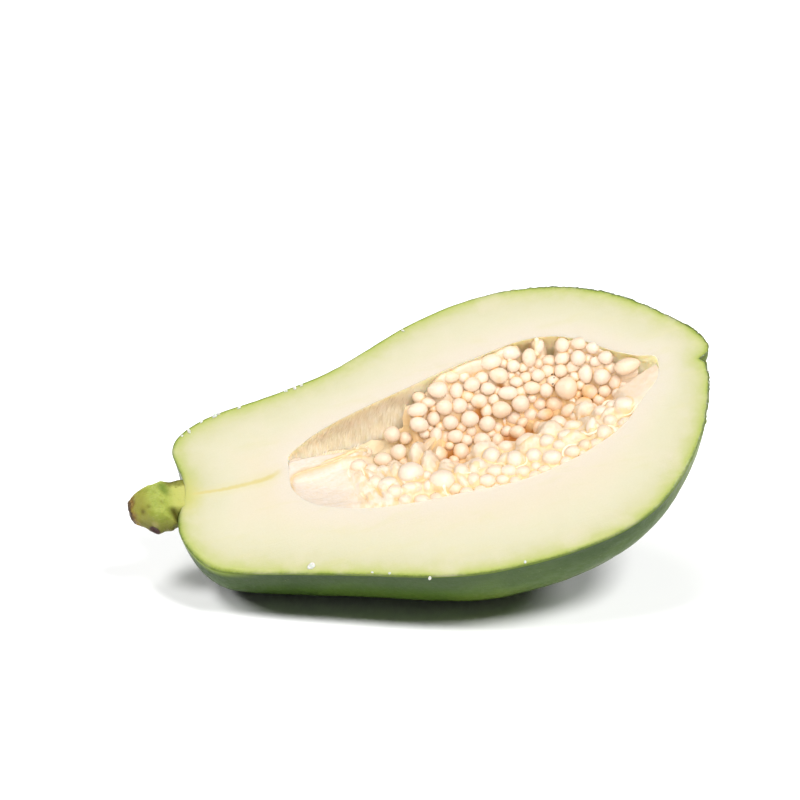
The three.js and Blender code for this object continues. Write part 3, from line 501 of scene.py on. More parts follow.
def build_stem(mat):
    n, sides = 110, 112
    base = np.cumsum(np.concatenate([[0], np.hypot(np.diff(STEM[:, 0]), np.diff(STEM[:, 3]))]))
    q = np.linspace(0, base[-1], n)
    R = np.stack([np.interp(q, base, STEM[:, k]) for k in range(6)], 1)
    for _ in range(5):
        R[1:-1] = (R[:-2] + 2 * R[1:-1] + R[2:]) / 4
    a = np.linspace(0, 2 * math.pi, sides, endpoint=False)
    ca, sa = np.cos(a), np.sin(a)
    x, cy, cz, ry, rz, cap = [R[:, k, None] for k in range(6)]
    D = np.stack([x + 0 * ca, 6 * ca + 0 * x, 6 * sa + 0 * x], -1)
    out = sstep(1.0, -3.0, x)
    knob = 0.075 * fbm(D * np.array([0.16, 0.13, 0.13]), 2, 101) + 0.035 * noise(D * np.array([0.35, 0.4, 0.4]), 102)
    ribs = 0.018 * np.sin(7 * a + 0.25 * x) * sstep(-15, -8, x)
    # a shoulder line along the lower flank, and a ring of ridged bark before the dry end
    shoulder = -0.05 * np.exp(-((np.mod(a, 2 * math.pi) - 4.05) / 0.22) ** 2) * sstep(-13, -8, x)
    collar = 0.06 * noise(D * np.array([0.5, 0.5, 0.5]), 107) * sstep(-12.5, -15.0, x) + 0.04 * np.exp(-((x + 5.0) / 1.3) ** 2) * np.sin(2 * a + 0.4)
    k = 1 + out * (knob + ribs + shoulder + collar)
    y = cy + ry * k * ca
    z = cz + rz * k * sa
    # the slice across the top: a soft minimum with a level that rises away from the fruit
    lim = cap + 0.12 * noise(D * 0.4, 103) * sstep(1.0, -2.0, x)
    # on the near side the slice ends in a crevice before the flesh
    lim = lim - 3.0 * sstep(-1.4, -3.8, y) * sstep(-4.6, -1.4, x + 0.16 * (y + 4))
    h = 0.5
    z = -h * np.logaddexp(-z / h, -lim / h)
    P = np.stack([x + 0 * ca, y, z], -1)
    ctr = np.stack([x + 0 * ca, cy + 0 * ca, cz + 0 * ca], -1)
    N = P - ctr
    N /= np.maximum(np.linalg.norm(N, axis=-1, keepdims=True), 1e-6)

    def near(c, r):
        return np.exp(-(np.linalg.norm(P - np.array(c), axis=-1) / r) ** 2)
    # flower-stalk scar: a swelling whose end is sunken and dark, with a small pale bud above it
    swell, hole, bud = near((-10.2, -6.6, -1.0), 2.7), near((-10.4, -7.0, -0.4), 1.5), near((-9.0, -6.4, 2.4), 1.0)
    pit, dot, dot2 = near((-12.0, -3.0, 5.3), 1.0), near((-9.9, -2.6, 6.9), 0.7), near((-5.3, -0.7, 5.0), 0.7)
    pit2, pit3 = near((-7.5, 6.5, 3.0), 1.1), near((-11.0, 3.0, -6.0), 1.2)
    P = P + N * (2.1 * swell - 1.2 * hole + 0.8 * bud - 0.55 * pit - 0.3 * dot - 0.2 * dot2 - 0.5 * pit2 - 0.5 * pit3)[..., None]
    # wrinkles, and torn fibres on the dry end
    dry = sstep(-13.6, -16.2, P[..., 0] + 0.5 * np.sin(3 * a + 1) + 0.9 * noise(D * 0.45, 108))
    P = P + N * (out * (0.16 * fbm(P * np.array([0.9, 0.5, 0.5]), 3, 104)) + dry * 0.55 * fbm(P * 0.9, 3, 105))[..., None]
    # painted shade mask: the crevices where the stem meets the fruit
    jun = np.exp(-((P[..., 0] + 2.5 + 0.12 * (P[..., 1] + 4)) / 1.25) ** 2) * sstep(-0.4, -2.6, P[..., 1] + 0.3 * P[..., 2])
    jun = np.maximum(jun, 0.8 * sstep(7.9, 9.0, P[..., 1] + 0.67 * P[..., 2] + 0.5 * noise(P * 0.8, 110)) * sstep(-4.5, -1.5, P[..., 0]))
    jun = np.maximum(jun, 0.9 * sstep(-0.4, -1.6, z - 0 * y) * sstep(-3.5, -1.5, x))
    P[..., 0] += dry * 0.35 * fbm(P * 1.1 + 9, 2, 106)
    V = P.reshape(-1, 3)
    faces = []
    for i in range(n - 1):
        for j in range(sides):
            u, v = i * sides + j, i * sides + (j + 1) % sides
            faces.append((u, v, v + sides, u + sides))
    V = np.vstack([V, P[0].mean(0), P[-1].mean(0)])
    for j in range(sides):
        faces.append((n * sides, (j + 1) % sides, j))
        faces.append((n * sides + 1, (n - 1) * sides + j, (n - 1) * sides + (j + 1) % sides))

    def flat(A):
        return np.concatenate([A.ravel(), [A[0].mean(), A[-1].mean()]])
    top = sstep(0.9, 0.1, lim - z)
    # painted shade mask: the lower flank of the stem
    under = sstep(0.45, -0.45, np.broadcast_to(sa + 0.35 * ca, z.shape) + 0.15 * noise(D * 0.3, 109))
    return make("stem", V, faces, [mat], None,
                {"dry": flat(dry), "jun": flat(np.clip(jun, 0, 1)), "scar": flat(np.clip(1.8 * hole, 0, 1)), "rust": flat(near((-10.8, -7.6, -1.2), 2.6)), "bud": flat(bud),
                 "pit": flat(np.clip(pit + 0.6 * dot + 0.4 * dot2 + pit2 + pit3, 0, 1)), "sliced": flat(top), "under": flat(under)},
                "stem")


# ------------------------------------------------------------------ pulp, seeds
BED_T = [0, 0.10, 0.24, 0.36, 0.46, 0.56, 0.66, 0.80, 0.92, 1.0]
BED_D = [0.15, 0.15, 0.19, 0.32, 0.56, 0.66, 0.58, 0.38, 0.22, 0.14]
DEPTH_X = [38, 45, 60, 80, 100, 120, 135, 150, 160, 168]
DEPTH = [3, 11, 19, 23.5, 25.5, 26, 24, 18, 11, 2]
VALLEY = 0.52
SEPTUM_X = [38, 46, 52, 58, 64, 72, 80]
SEPTUM_Y = [2.6, 2.2, 1.6, 1.0, 0.3, -0.5, -1.5]
SEPTUM_Z = [-0.9, -1.1, -1.7, -2.7, -4.3, -7.5, -12]
NEAR_X, NEAR_Z, FAR_LOBE = [38, 44, 52, 60, 68, 80], [-0.9, -2.4, -3.2, -3.6, -4.0, -5.0], 0.62
# edge of the near lobe under the septum, from its left end on
DISH_EDGE = [(38.2, -9.8), (37.5, -7.4), (37.4, -4.6), (37.9, -2.6), (39.2, -1.5), (41.6, -1.0), (45.8, -0.8), (50.0, -0.5), (54.4, 0.0), (57.5, 0.8), (61.0, 1.4), (66.0, 1.9)]
CLUSTERS = [("seeds_stem_end", 2, 39.0, 66),
            ("seeds_near_1", 0, 66, 90), ("seeds_near_2", 0, 90, 112), ("seeds_near_3", 0, 112, 134), ("seeds_near_4", 0, 134, 165.5),
            ("seeds_far_1", 1, 66, 84), ("seeds_far_2", 1, 84, 104), ("seeds_far_3", 1, 104, 124),
            ("seeds_far_4", 1, 124, 145), ("seeds_far_5", 1, 145, 165.5)]
E1 = np.array([0.9629, -0.2394, -0.1245])
E1 /= np.linalg.norm(E1)
E2 = np.array([0.2675, 0.7866, 0.5565])
E2 -= E1 * (E1 @ E2)
E2 /= np.linalg.norm(E2)
E3 = np.cross(E1, E2)
SEEDS = [
    (61.1, -3, -3, 2.6, 2.2, 0), (64.7, -11.1, -5.2, 2, 2, 0), (64.4, 3.3, -5.8, 2.2, 1.7, 10), (64.6, -5.6, -4.3, 2.2, 2.1, 0), (68.8, -13.6, -4.1, 2.3, 1.8, 0),
    (69.5, -0.4, -7.1, 2.9, 2.3, 0), (70.3, -17.3, -3.7, 2.2, 1.8, 0), (72.1, -6.4, -7.6, 2, 2.9, -10), (74.9, 9.9, -9.3, 2.7, 2.7, 0), (75.4, 2.4, -9.7, 2.7, 2.7, 0),
    (75.7, -17.6, -4, 2.7, 1.5, 0), (76.5, -1.1, -11.5, 2, 1.9, 0), (77, -11.4, -5.2, 3.4, 3, 20), (79, 9.3, -12.6, 2.1, 2.1, 0), (81.5, -18.3, -4, 1.7, 2, 0),
    (82.3, 3.3, -13.8, 2.9, 3.1, 30), (83.9, -1.1, -14.8, 2.4, 2.2, 0), (84.7, 10.4, -8.5, 3.1, 2.6, -15), (85.6, 14.8, -6.3, 3.3, 2.4, 12), (86.4, -17.8, -2.8, 3.7, 3.3, 0),
    (87, 7.4, -15.6, 2.1, 1.9, 0), (88.2, 0.8, -15, 3.1, 2.9, 0), (89.1, -10.3, -6.8, 2, 2.5, 0), (89.4, 6.9, -12.6, 2, 2.7, -10), (89.6, -21.5, -3.8, 2, 1.7, 0),
    (89.8, 17, -6.8, 2.4, 1.7, 0), (90.2, 12.3, -10.2, 2.2, 2.4, 0), (92.7, 7.4, -15.9, 2.1, 2.1, 0), (93.2, -16.6, -3.8, 2.3, 3.1, 5), (94.2, 19.1, -4.1, 3.3, 2.7, 0),
    (94.8, 13.9, -7.6, 2.7, 2.6, 0), (95.3, 9.5, -11.1, 2.6, 2.4, 0), (95.7, 5.3, -14, 2.7, 2.3, 0), (96.2, -0.6, -15, 2.7, 2.7, 0), (96.5, -20.4, -3.8, 2, 2.3, 0),
    (99.3, -14.9, -4.4, 2.5, 2.2, 0), (99.7, 22.9, -4.1, 2.9, 2.1, 5), (99.9, 13.5, -8.6, 2.6, 2.5, 0), (100.3, 18.2, -6.5, 2.2, 2.7, 0), (100.6, -22, -3.8, 2.5, 2, 0),
    (101.5, 7, -15.9, 1.9, 2.2, 0), (102.1, 9, -11.5, 2.9, 2.7, 0), (104.1, -19.2, -4, 2.5, 2, 0), (104.2, 1.7, -15.8, 3, 2.7, -20), (104.7, -11.6, -6.1, 2.6, 2.7, 0),
    (105.8, -23.1, -4, 2, 1.5, 0), (106, 18.6, -5.8, 2.7, 2.4, 20), (106.8, 13.6, -9.3, 2.7, 2.4, 0), (107.5, 6.7, -13.9, 2.7, 2.6, 0), (108.4, 10.8, -12.2, 2, 2.2, 0),
    (108.4, -20.6, -3.8, 2.5, 2, 0), (109.3, 0.2, -15.8, 1.9, 2.4, 0), (109.7, 20.9, -7.1, 2.7, 2.2, 25), (110.6, -7.6, -9, 2.2, 1.9, 0), (110.6, 6.8, -18.2, 2.1, 2.1, 0),
    (111, 16.7, -8, 2.6, 2.1, 0), (111.8, -17, -3.7, 2.8, 2.8, 0), (111.9, 13.7, -10.9, 1.9, 1.9, 0), (112.9, -22.4, -3.7, 2.2, 1.8, 0), (113.4, 9.8, -12.3, 3.3, 2.8, 0),
    (113.9, 9.3, -19, 2.1, 2.1, 0), (114.5, 24.2, -3.8, 3.6, 2.6, 8), (115.8, 19.4, -6, 3.1, 2.6, -10), (116.6, 1.5, -16, 2.6, 2.2, 0), (117.1, 8.2, -17.1, 2.4, 2.2, 0),
    (117.2, 14, -9.8, 3.3, 2.3, 0), (117.8, -10.3, -6.2, 3.4, 3, 0), (118.1, -17.2, -4.1, 2.3, 2.2, 0), (120.1, -23.9, -4, 2, 1.5, 0), (120.4, 10, -12.3, 2.9, 2.8, 0),
    (121.1, 16.9, -9, 2.2, 1.7, 0), (121.5, 21.5, -5.8, 2.2, 2.1, 0), (121.9, 25.5, -3.6, 3.1, 2.4, -8), (122.8, 8.3, -18.1, 2.6, 2.2, 0), (123.5, 0.5, -15.3, 1.5, 2.2, 0),
    (123.7, -20.5, -3.2, 2.8, 2.3, 0), (124, -12.9, -4.7, 2.4, 2.2, 0), (124.6, 17.7, -9.1, 2.1, 1.9, 0), (125.6, -2.1, -13.2, 2.6, 2.4, 0), (125.7, 13.8, -10.5, 2.9, 2.2, 0),
    (127.1, 10.1, -15.9, 2.2, 2.1, 0), (127.5, 5.2, -15.6, 2.6, 1.9, 10), (127.5, -15.9, -4.5, 2.2, 1.7, 0), (127.6, 22.5, -5, 2.3, 3.1, 0), (128.8, 16.5, -8.2, 2.2, 2.1, 0),
    (130.1, 11.9, -11.5, 2.2, 2.4, 0), (130.5, -2.9, -11.4, 3, 2.6, -30), (130.8, -20.4, -3.3, 2.2, 1.8, 0), (131.5, -13.2, -4, 3.2, 1.7, 0), (131.6, 8.2, -15.6, 2.8, 2.5, 0),
    (132, 25.4, -4, 1.7, 2.6, -10), (132.5, 17.7, -8.9, 2.4, 2.1, 0), (133.3, 14.2, -10.4, 2.1, 1.9, 0), (134.1, 21.4, -8.6, 2.4, 2.1, 0), (134.1, -8.4, -6.4, 2.5, 1.7, 0),
    (135.3, -19.2, -3.2, 1.8, 1.8, 0), (135.9, 3, -14.4, 2.9, 2.4, 15), (136.8, 15.9, -8.3, 2.2, 2.2, 0), (136.9, 9.9, -10.5, 3.6, 3.8, 0), (137.1, -2, -11.5, 2.2, 1.7, 0),
    (139.4, -13.1, -3.5, 1.5, 3.2, -8), (139.7, 22.6, -3.2, 2.4, 2.5, 0), (141.1, 3.5, -13.2, 2.8, 2.4, 0), (141.2, 16, -8.1, 2.6, 2.1, 30), (142.8, -17, -2.5, 2.3, 2.4, 0),
    (142.8, -0.6, -11.7, 2.1, 2.1, 0), (143.5, 16.5, -4.5, 2.4, 2.6, 0), (144.1, 6.5, -11.3, 2.7, 2.5, 0), (144.4, 11.6, -7.9, 2.3, 3.1, 0), (144.8, -7, -5, 2.4, 2, 0),
    (145.1, 20.6, -1.9, 2.6, 2.1, 0), (146.1, -12.3, -3.6, 2, 1.9, 0), (148.9, 13.7, -5.3, 2.1, 1.7, 0), (149, -6.1, -5, 2.2, 1.9, 0), (149.1, 17.5, -2.2, 2.2, 2.1, 0),
    (149.1, 4.8, -10.9, 2.2, 2.1, 0), (149.3, 8.2, -7.2, 2.8, 2.7, 0), (152.1, 12.5, -2.8, 2.4, 2.2, 0), (152.9, -8.6, -2.7, 3.4, 2.4, -15), (152.9, 2, -10.1, 2.1, 1.7, 20),
    (153, 5.6, -9, 2.1, 2.5, 0), (157.9, 6.6, -2.5, 4.2, 2.7, 18), (158.4, 2.1, -8, 2.4, 1.7, 35),
]

_rim = cavity_at(np.linspace(0, 1, 401)[:, None], np.array([0.0, math.pi])[None, :])


def rims(x):
    o = np.argsort(_rim[:, 0, 0]), np.argsort(_rim[:, 1, 0])
    return (np.interp(x, _rim[o[0], 0, 0], _rim[o[0], 0, 1]), np.interp(x, _rim[o[1], 1, 0], _rim[o[1], 1, 1]))


def t_of(x, y):
    yn, yf = rims(x)
    return (y - yn) / np.maximum(yf - yn, 0.5)


def bed0(x, t):
    """Level of the pulp between the seeds."""
    wide = sum(np.interp(t + o, BED_T, BED_D) for o in (-0.05, -0.025, 0, 0.025, 0.05)) / 5
    base = -np.interp(x, DEPTH_X, DEPTH) * wide - 8 * np.clip((78 - x) / 18, 0, 1) * sstep(0.40, 0.64, t)
    yn, yf = rims(x)
    v = yn + (yf - yn) * t - np.interp(x, SEPTUM_X, SEPTUM_Y)
    top, low = np.interp(x, SEPTUM_X, SEPTUM_Z), np.interp(x, NEAR_X, NEAR_Z)
    floor = -FAR_LOBE * np.interp(x, DEPTH_X, DEPTH)
    # the near lobe is a shallow dish, the far lobe drops away behind a thin lip
    dish = low + (top - low) * sstep(-4.2, -1.0, v) + 0.9 * sstep(0.16, 0.0, t)
    high = np.where(v < 0.9, dish, top + (floor - top) * sstep(0.9, 4.4, v))
    w = sstep(81, 61, x)
    return w * high + (1 - w) * base


T_GRID = np.concatenate([np.linspace(-0.03, VALLEY, 62), np.linspace(VALLEY, 1.03, 62)[1:]])


class Seed:
    def __init__(s, c, a, b, turn_deg, level, kind):
        s.c, s.a, s.b, s.level, s.kind = np.array(c, float), a, b, level, kind
        th = math.radians(turn_deg)
        la, lb = E1 * math.cos(th) + E2 * math.sin(th), E2 * math.cos(th) - E1 * math.sin(th)
        s.M = np.stack([la * a, lb * b, E3 * min(a, b)], 1)
        s.r = (a * b * min(a, b)) ** (1 / 3)


# open gaps between the banks: x, y, z, radius
GAPS = [(92.3, -0.2, -14, 1.3), (112.8, -0.4, -15, 1.3), (120.9, 2.0, -15, 1.2), (128.9, 4.7, -14, 0.8), (141.7, 5.4, -12, 1.2),
        (105.9, 10.8, -11, 0.8), (99.4, -0.4, -14, 0.7), (115.3, 17.1, -9, 0.5), (89.7, 14.2, -8, 0.5), (107.4, 19.1, -8, 0.4),
        (129.1, 9.2, -10, 0.4), (144.5, 6.8, -8, 0.4), (134.1, 12.6, -8, 0.4)]


TIP_X, TIP_Y = [150, 154, 158, 161, 164, 167, 168], [-1.0, 0.2, 1.4, 2.4, 2.9, 3.2, 3.4]


# hollows at the far rim where the wall shows, and slots between the lumps of the near bank
TOPGAPS = [(127.4, 26.2, 2.0), (135.5, 24.2, 2.1)]
SLOTS = [(65.1, -15.8, 0.6, 2.6), (69.8, -19.0, 0.8, 1.8), (60.2, -16.8, 0.5, 2.0), (62.6, -8.4, 0.5, 2.4), (68.4, -8.6, 0.5, 2.2), (72.8, -14.4, 0.6, 2.2)]


def in_zone(x, t):
    """Where seeds grow: not on the shelf nor in the far lobe of the stem end."""
    return (x > 67) & ~((t > 0.60) & (x < 85)) & ~((t > 0.44) & (x < 80)) & ~((t < 0.06) & (x < 74)) & (x < 156.0) & ~((t < 0.52) & (x > 151.0))


def make_seeds():
    rng = np.random.default_rng(7)
    out = []
    for x, y, z, a, b, deg in SEEDS:
        t = float(t_of(x, y))
        k = 1.06 + 0.12 * float(sstep(0.44, 0.36, t))
        # those at the left end of the near bank stand out of the torn lumps
        up = float(sstep(84, 76, x) * sstep(0.46, 0.40, t) * sstep(61, 64, x))
        out.append(Seed((x, y, min(z + 2.0 * up, -2.3) if up > 0 else z), a * (k + 0.12 * up), b * (k + 0.16 * up), deg, 3, 0))
    C = np.array([s.c for s in out])
    Rr = np.array([s.r for s in out])
    U, V, R = list(C @ E1), list(C @ E2), [math.sqrt(s.a * s.b) for s in out]
    for x, y, z, r in GAPS:
        q = np.array([x, y, z])
        U.append(q @ E1)
        V.append(q @ E2)
        R.append(r)
    # younger seeds fill the gaps that show between them
    X, T = np.meshgrid(np.arange(66, 163, 0.55), np.arange(0.035, 0.975, 0.0115), indexing="ij")
    X, T = X.ravel(), T.ravel()
    keep = in_zone(X, T)
    X, T = X[keep], T[keep]
    yn, yf = rims(X)
    Y = yn + (yf - yn) * T
    w = np.exp(-((X[:, None] - C[None, :, 0]) ** 2 + (Y[:, None] - C[None, :, 1]) ** 2) / (2 * 2.8 ** 2))
    z0 = bed0(X, T)
    Z = ((w * (C[None, :, 2] - 0.8)).sum(1) + 0.12 * z0) / (w.sum(1) + 0.12)
    P = np.stack([X, Y, Z], 1)
    pu, pv = P @ E1, P @ E2
    clear = 9.0 - 0.30 * sstep(0.47, 0.40, T)
    for gx, gy, gr in TOPGAPS:
        clear = np.where(np.hypot(X - gx, Y - gy) < gr + 1.6, -1.0, clear)
    for u, v, r in zip(U, V, R):
        clear = np.minimum(clear, np.hypot(pu - u, pv - v) - r - 0.30 * sstep(0.47, 0.40, T))
    for step in range(330):
        i = int(clear.argmax())
        if clear[i] < 0.68:
            break
        r = float(np.clip(clear[i] + rng.uniform(0.75, 1.15), 1.55, 2.6))
        c = P[i].copy()
        for k in range(12):
            if (np.linalg.norm(C - c, axis=1) > (Rr + r) * 0.84).all():
                break
            c = c - E3 * 0.4
        s = Seed(c, r * rng.uniform(1.0, 1.18), r * rng.uniform(0.94, 1.02), rng.uniform(-40, 40), 2, 1)
        out.append(s)
        C = np.vstack([C, s.c])
        Rr = np.append(Rr, s.r)
        clear = np.minimum(clear, np.hypot(pu - c @ E1, pv - c @ E2) - r * 0.98 - 0.30 * sstep(0.47, 0.40, T))
    return out, C, Rr


# torn white skins and webs that bulge out of the near bank: x, y, top, half axes along x and y, lean
WEBS = [(87.4, -16.8, -1.2, 2.5, 5.2, 0.25), (83.9, -7.6, -2.3, 2.2, 3.6, 0.2), (92.6, -18.8, -1.3, 1.5, 4.0, -0.2), (80.8, -2.0, -2.9, 2.0, 3.0, 0.3),
        (102.8, -7.4, -4.2, 3.4, 2.6, 0.0), (118.5, -11.4, -2.6, 3.6, 2.8, 0.3), (126.4, -8.3, -2.9, 3.0, 3.4, 0.1), (132.3, -14.5, -2.0, 4.2, 1.9, 0.1),
        (140.8, -12.6, -1.8, 1.3, 4.4, -0.5), (140.2, -1.6, -6.2, 2.8, 2.4, 0.0), (98.2, -15.6, -1.9, 2.2, 2.9, 0.4), (109.6, -15.2, -2.0, 2.9, 2.0, 0.2),
        (77.2, -12.8, -1.6, 2.4, 2.9, 0.1), (146.6, -8.9, -2.0, 2.6, 1.8, 0.6), (72.4, -8.4, -1.9, 2.0, 3.2, 0.2)]


def make_lumps():
    """Torn, soft lumps that cover the left end of the near bank: x, y, half axes, turn, height."""
    rng = np.random.default_rng(91)
    out = []
    for k in range(900):
        x = rng.uniform(55.5, 78)
        t = rng.uniform(0.015, 0.44)
        yn, yf = rims(x)
        y = yn + (yf - yn) * t
        b = rng.uniform(1.1, 2.3)
        a = b * rng.uniform(1.05, 1.8)
        if x - 55.5 < 0.16 * (y + 20) or any(math.hypot(x - q[0], (y - q[1]) * 0.7) < 0.66 * (b + q[3]) for q in out):
            continue
        out.append((x, float(y), a, b, 1.29 + rng.uniform(-0.55, 0.55), rng.uniform(0.45, 1.0) * (0.55 + 0.45 * float(sstep(56, 63, x)))))
    return out


LUMPS = make_lumps()


def level(x, y, seeds):
    """Level of the pulp that carries the seeds, with the skins that it draws over those of the near bank."""
    t = t_of(x, y)
    z0 = bed0(x, t) - 1.2 * sstep(66, 78, x)
    prior = 0.05 + 4.0 * sstep(71, 61, x) + 2.0 * sstep(0.60, 0.74, t) * sstep(86, 80, x)
    num, den = z0 * prior, prior + 0 * x
    gap = np.full(np.shape(x), 9.0)
    ts = [float(t_of(s.c[0], s.c[1])) for s in seeds]
    for s, u in zip(seeds, ts):
        d2 = (x - s.c[0]) ** 2 + (y - s.c[1]) ** 2
        m = d2 < 90
        if not m.any():
            continue
        w = np.exp(-d2[m] / (2 * 1.9 ** 2))
        rz = min(s.a, s.b)
        e = 0.42 - 0.62 * float(sstep(0.48, 0.36, u)) + (0.1 if s.kind else 0)
        num[m] += w * (s.c[2] - e * rz)
        den[m] += w
        gap[m] = np.minimum(gap[m], np.sqrt(d2[m]) - s.r)
    z = num / den - 2.2 * sstep(90, 84, x) * sstep(0.60, 0.74, t) * sstep(66, 78, x)
    z = z - 2.2 * sstep(84.0, 79.0, x) * sstep(0.66, 0.80, t) * sstep(66, 78, x)
    z = z - 0.9 * sstep(0.2, 1.4, gap) * sstep(70, 76, x) * sstep(0.34, 0.48, t)
    for gx, gy, gz, gr in GAPS:
        z = z - 2.2 * np.exp(-((x - gx) ** 2 + (y - gy) ** 2) / (2 * (gr + 0.3) ** 2))
    # the left end of the near bank lies higher, a jumble of lumps and short cracks
    P = np.stack([x, y, x * 0], -1)
    jum = sstep(53, 59, x) * sstep(82, 73, x) * sstep(0.50, 0.42, t)
    hi = -1.7 - 0.09 * np.clip(x - 60, 0, 20) - 2.2 * sstep(0.28, 0.48, t) * sstep(60, 76, x) + 0.40 * fbm(P * 0.30, 3, 211)
    z = z * (1 - jum) + jum * np.maximum(hi, z - 0.4)
    for lx, ly, la, lb, th, lh in LUMPS:
        dx, dy = x - lx, y - ly
        u, v = dx * math.cos(th) + dy * math.sin(th), dy * math.cos(th) - dx * math.sin(th)
        m = (np.abs(dx) < 5) & (np.abs(dy) < 5)
        q = (u[m] / la) ** 2 + (v[m] / lb) ** 2
        q = q * (1 + 0.30 * noise(P[m] * 0.45, 212))
        z[m] += jum[m] * lh * 0.95 * np.exp(-(q ** 1.25))
    for sx, sy, sa, sb in SLOTS:
        u, v = (x - sx) + 0.28 * (y - sy), (y - sy)
        z = z - jum * 1.7 * np.exp(-((u / sa) ** 2 + (v / sb) ** 2))
    for gx, gy, gr in TOPGAPS:
        z = z - 4.2 * np.exp(-(((x - gx) / gr) ** 2 + ((y - gy) / 2.2) ** 2) ** 1.5)
    z = z + (0.30 * fbm(P * 0.30, 3, 201) + (0.16 - 0.08 * jum) * noise(P * 0.95, 202)) * (0.35 + 0.65 * sstep(60, 70, x))
    k = 0.30
    acc = np.exp(np.clip(z / k, -200, 50))
    for i, (s, u) in enumerate(zip(seeds, ts)):
        if u > 0.47 or s.c[0] < 66:
            continue
        q = ((x - s.c[0]) / (s.a + 0.1)) ** 2 + ((y - s.c[1]) / (s.b + 0.1)) ** 2
        m = q < 4
        rz = min(s.a, s.b)
        torn = float(sstep(84, 75, s.c[0]) * sstep(0.46, 0.40, u)) * (0.55 if i % 3 == 0 else 1.0)
        veil = 0.30 + 0.9 * float(sstep(0.36, 0.47, u)) + (0.5 if i % 3 == 0 else 0.0)
        veil = veil * (1 - torn) - 0.14 * torn + 0.22 * noise(P[m] * 0.8, 204)
        f = np.where(q[m] < 1, s.c[2] + rz * np.sqrt(np.clip(1 - q[m], 0, 1)), s.c[2] - rz * 2.0 * (np.sqrt(q[m]) - 1))
        acc[m] += np.exp(np.clip((f - veil) / k, -200, 50))
    for wx, wy, wz, wa, wb, lean in WEBS:
        dx, dy = x - wx - lean * (y - wy), y - wy
        q = (dx / wa) ** 2 + (dy / wb) ** 2
        m = q < 3.5
        f = wz - 1.5 * (q[m] * (1 + 0.25 * noise(P[m] * 0.7, 214))) ** 1.4 + 0.18 * noise(P[m] * 1.3, 215)
        acc[m] += np.exp(np.clip(f / k, -200, 50))
    return k * np.log(acc)


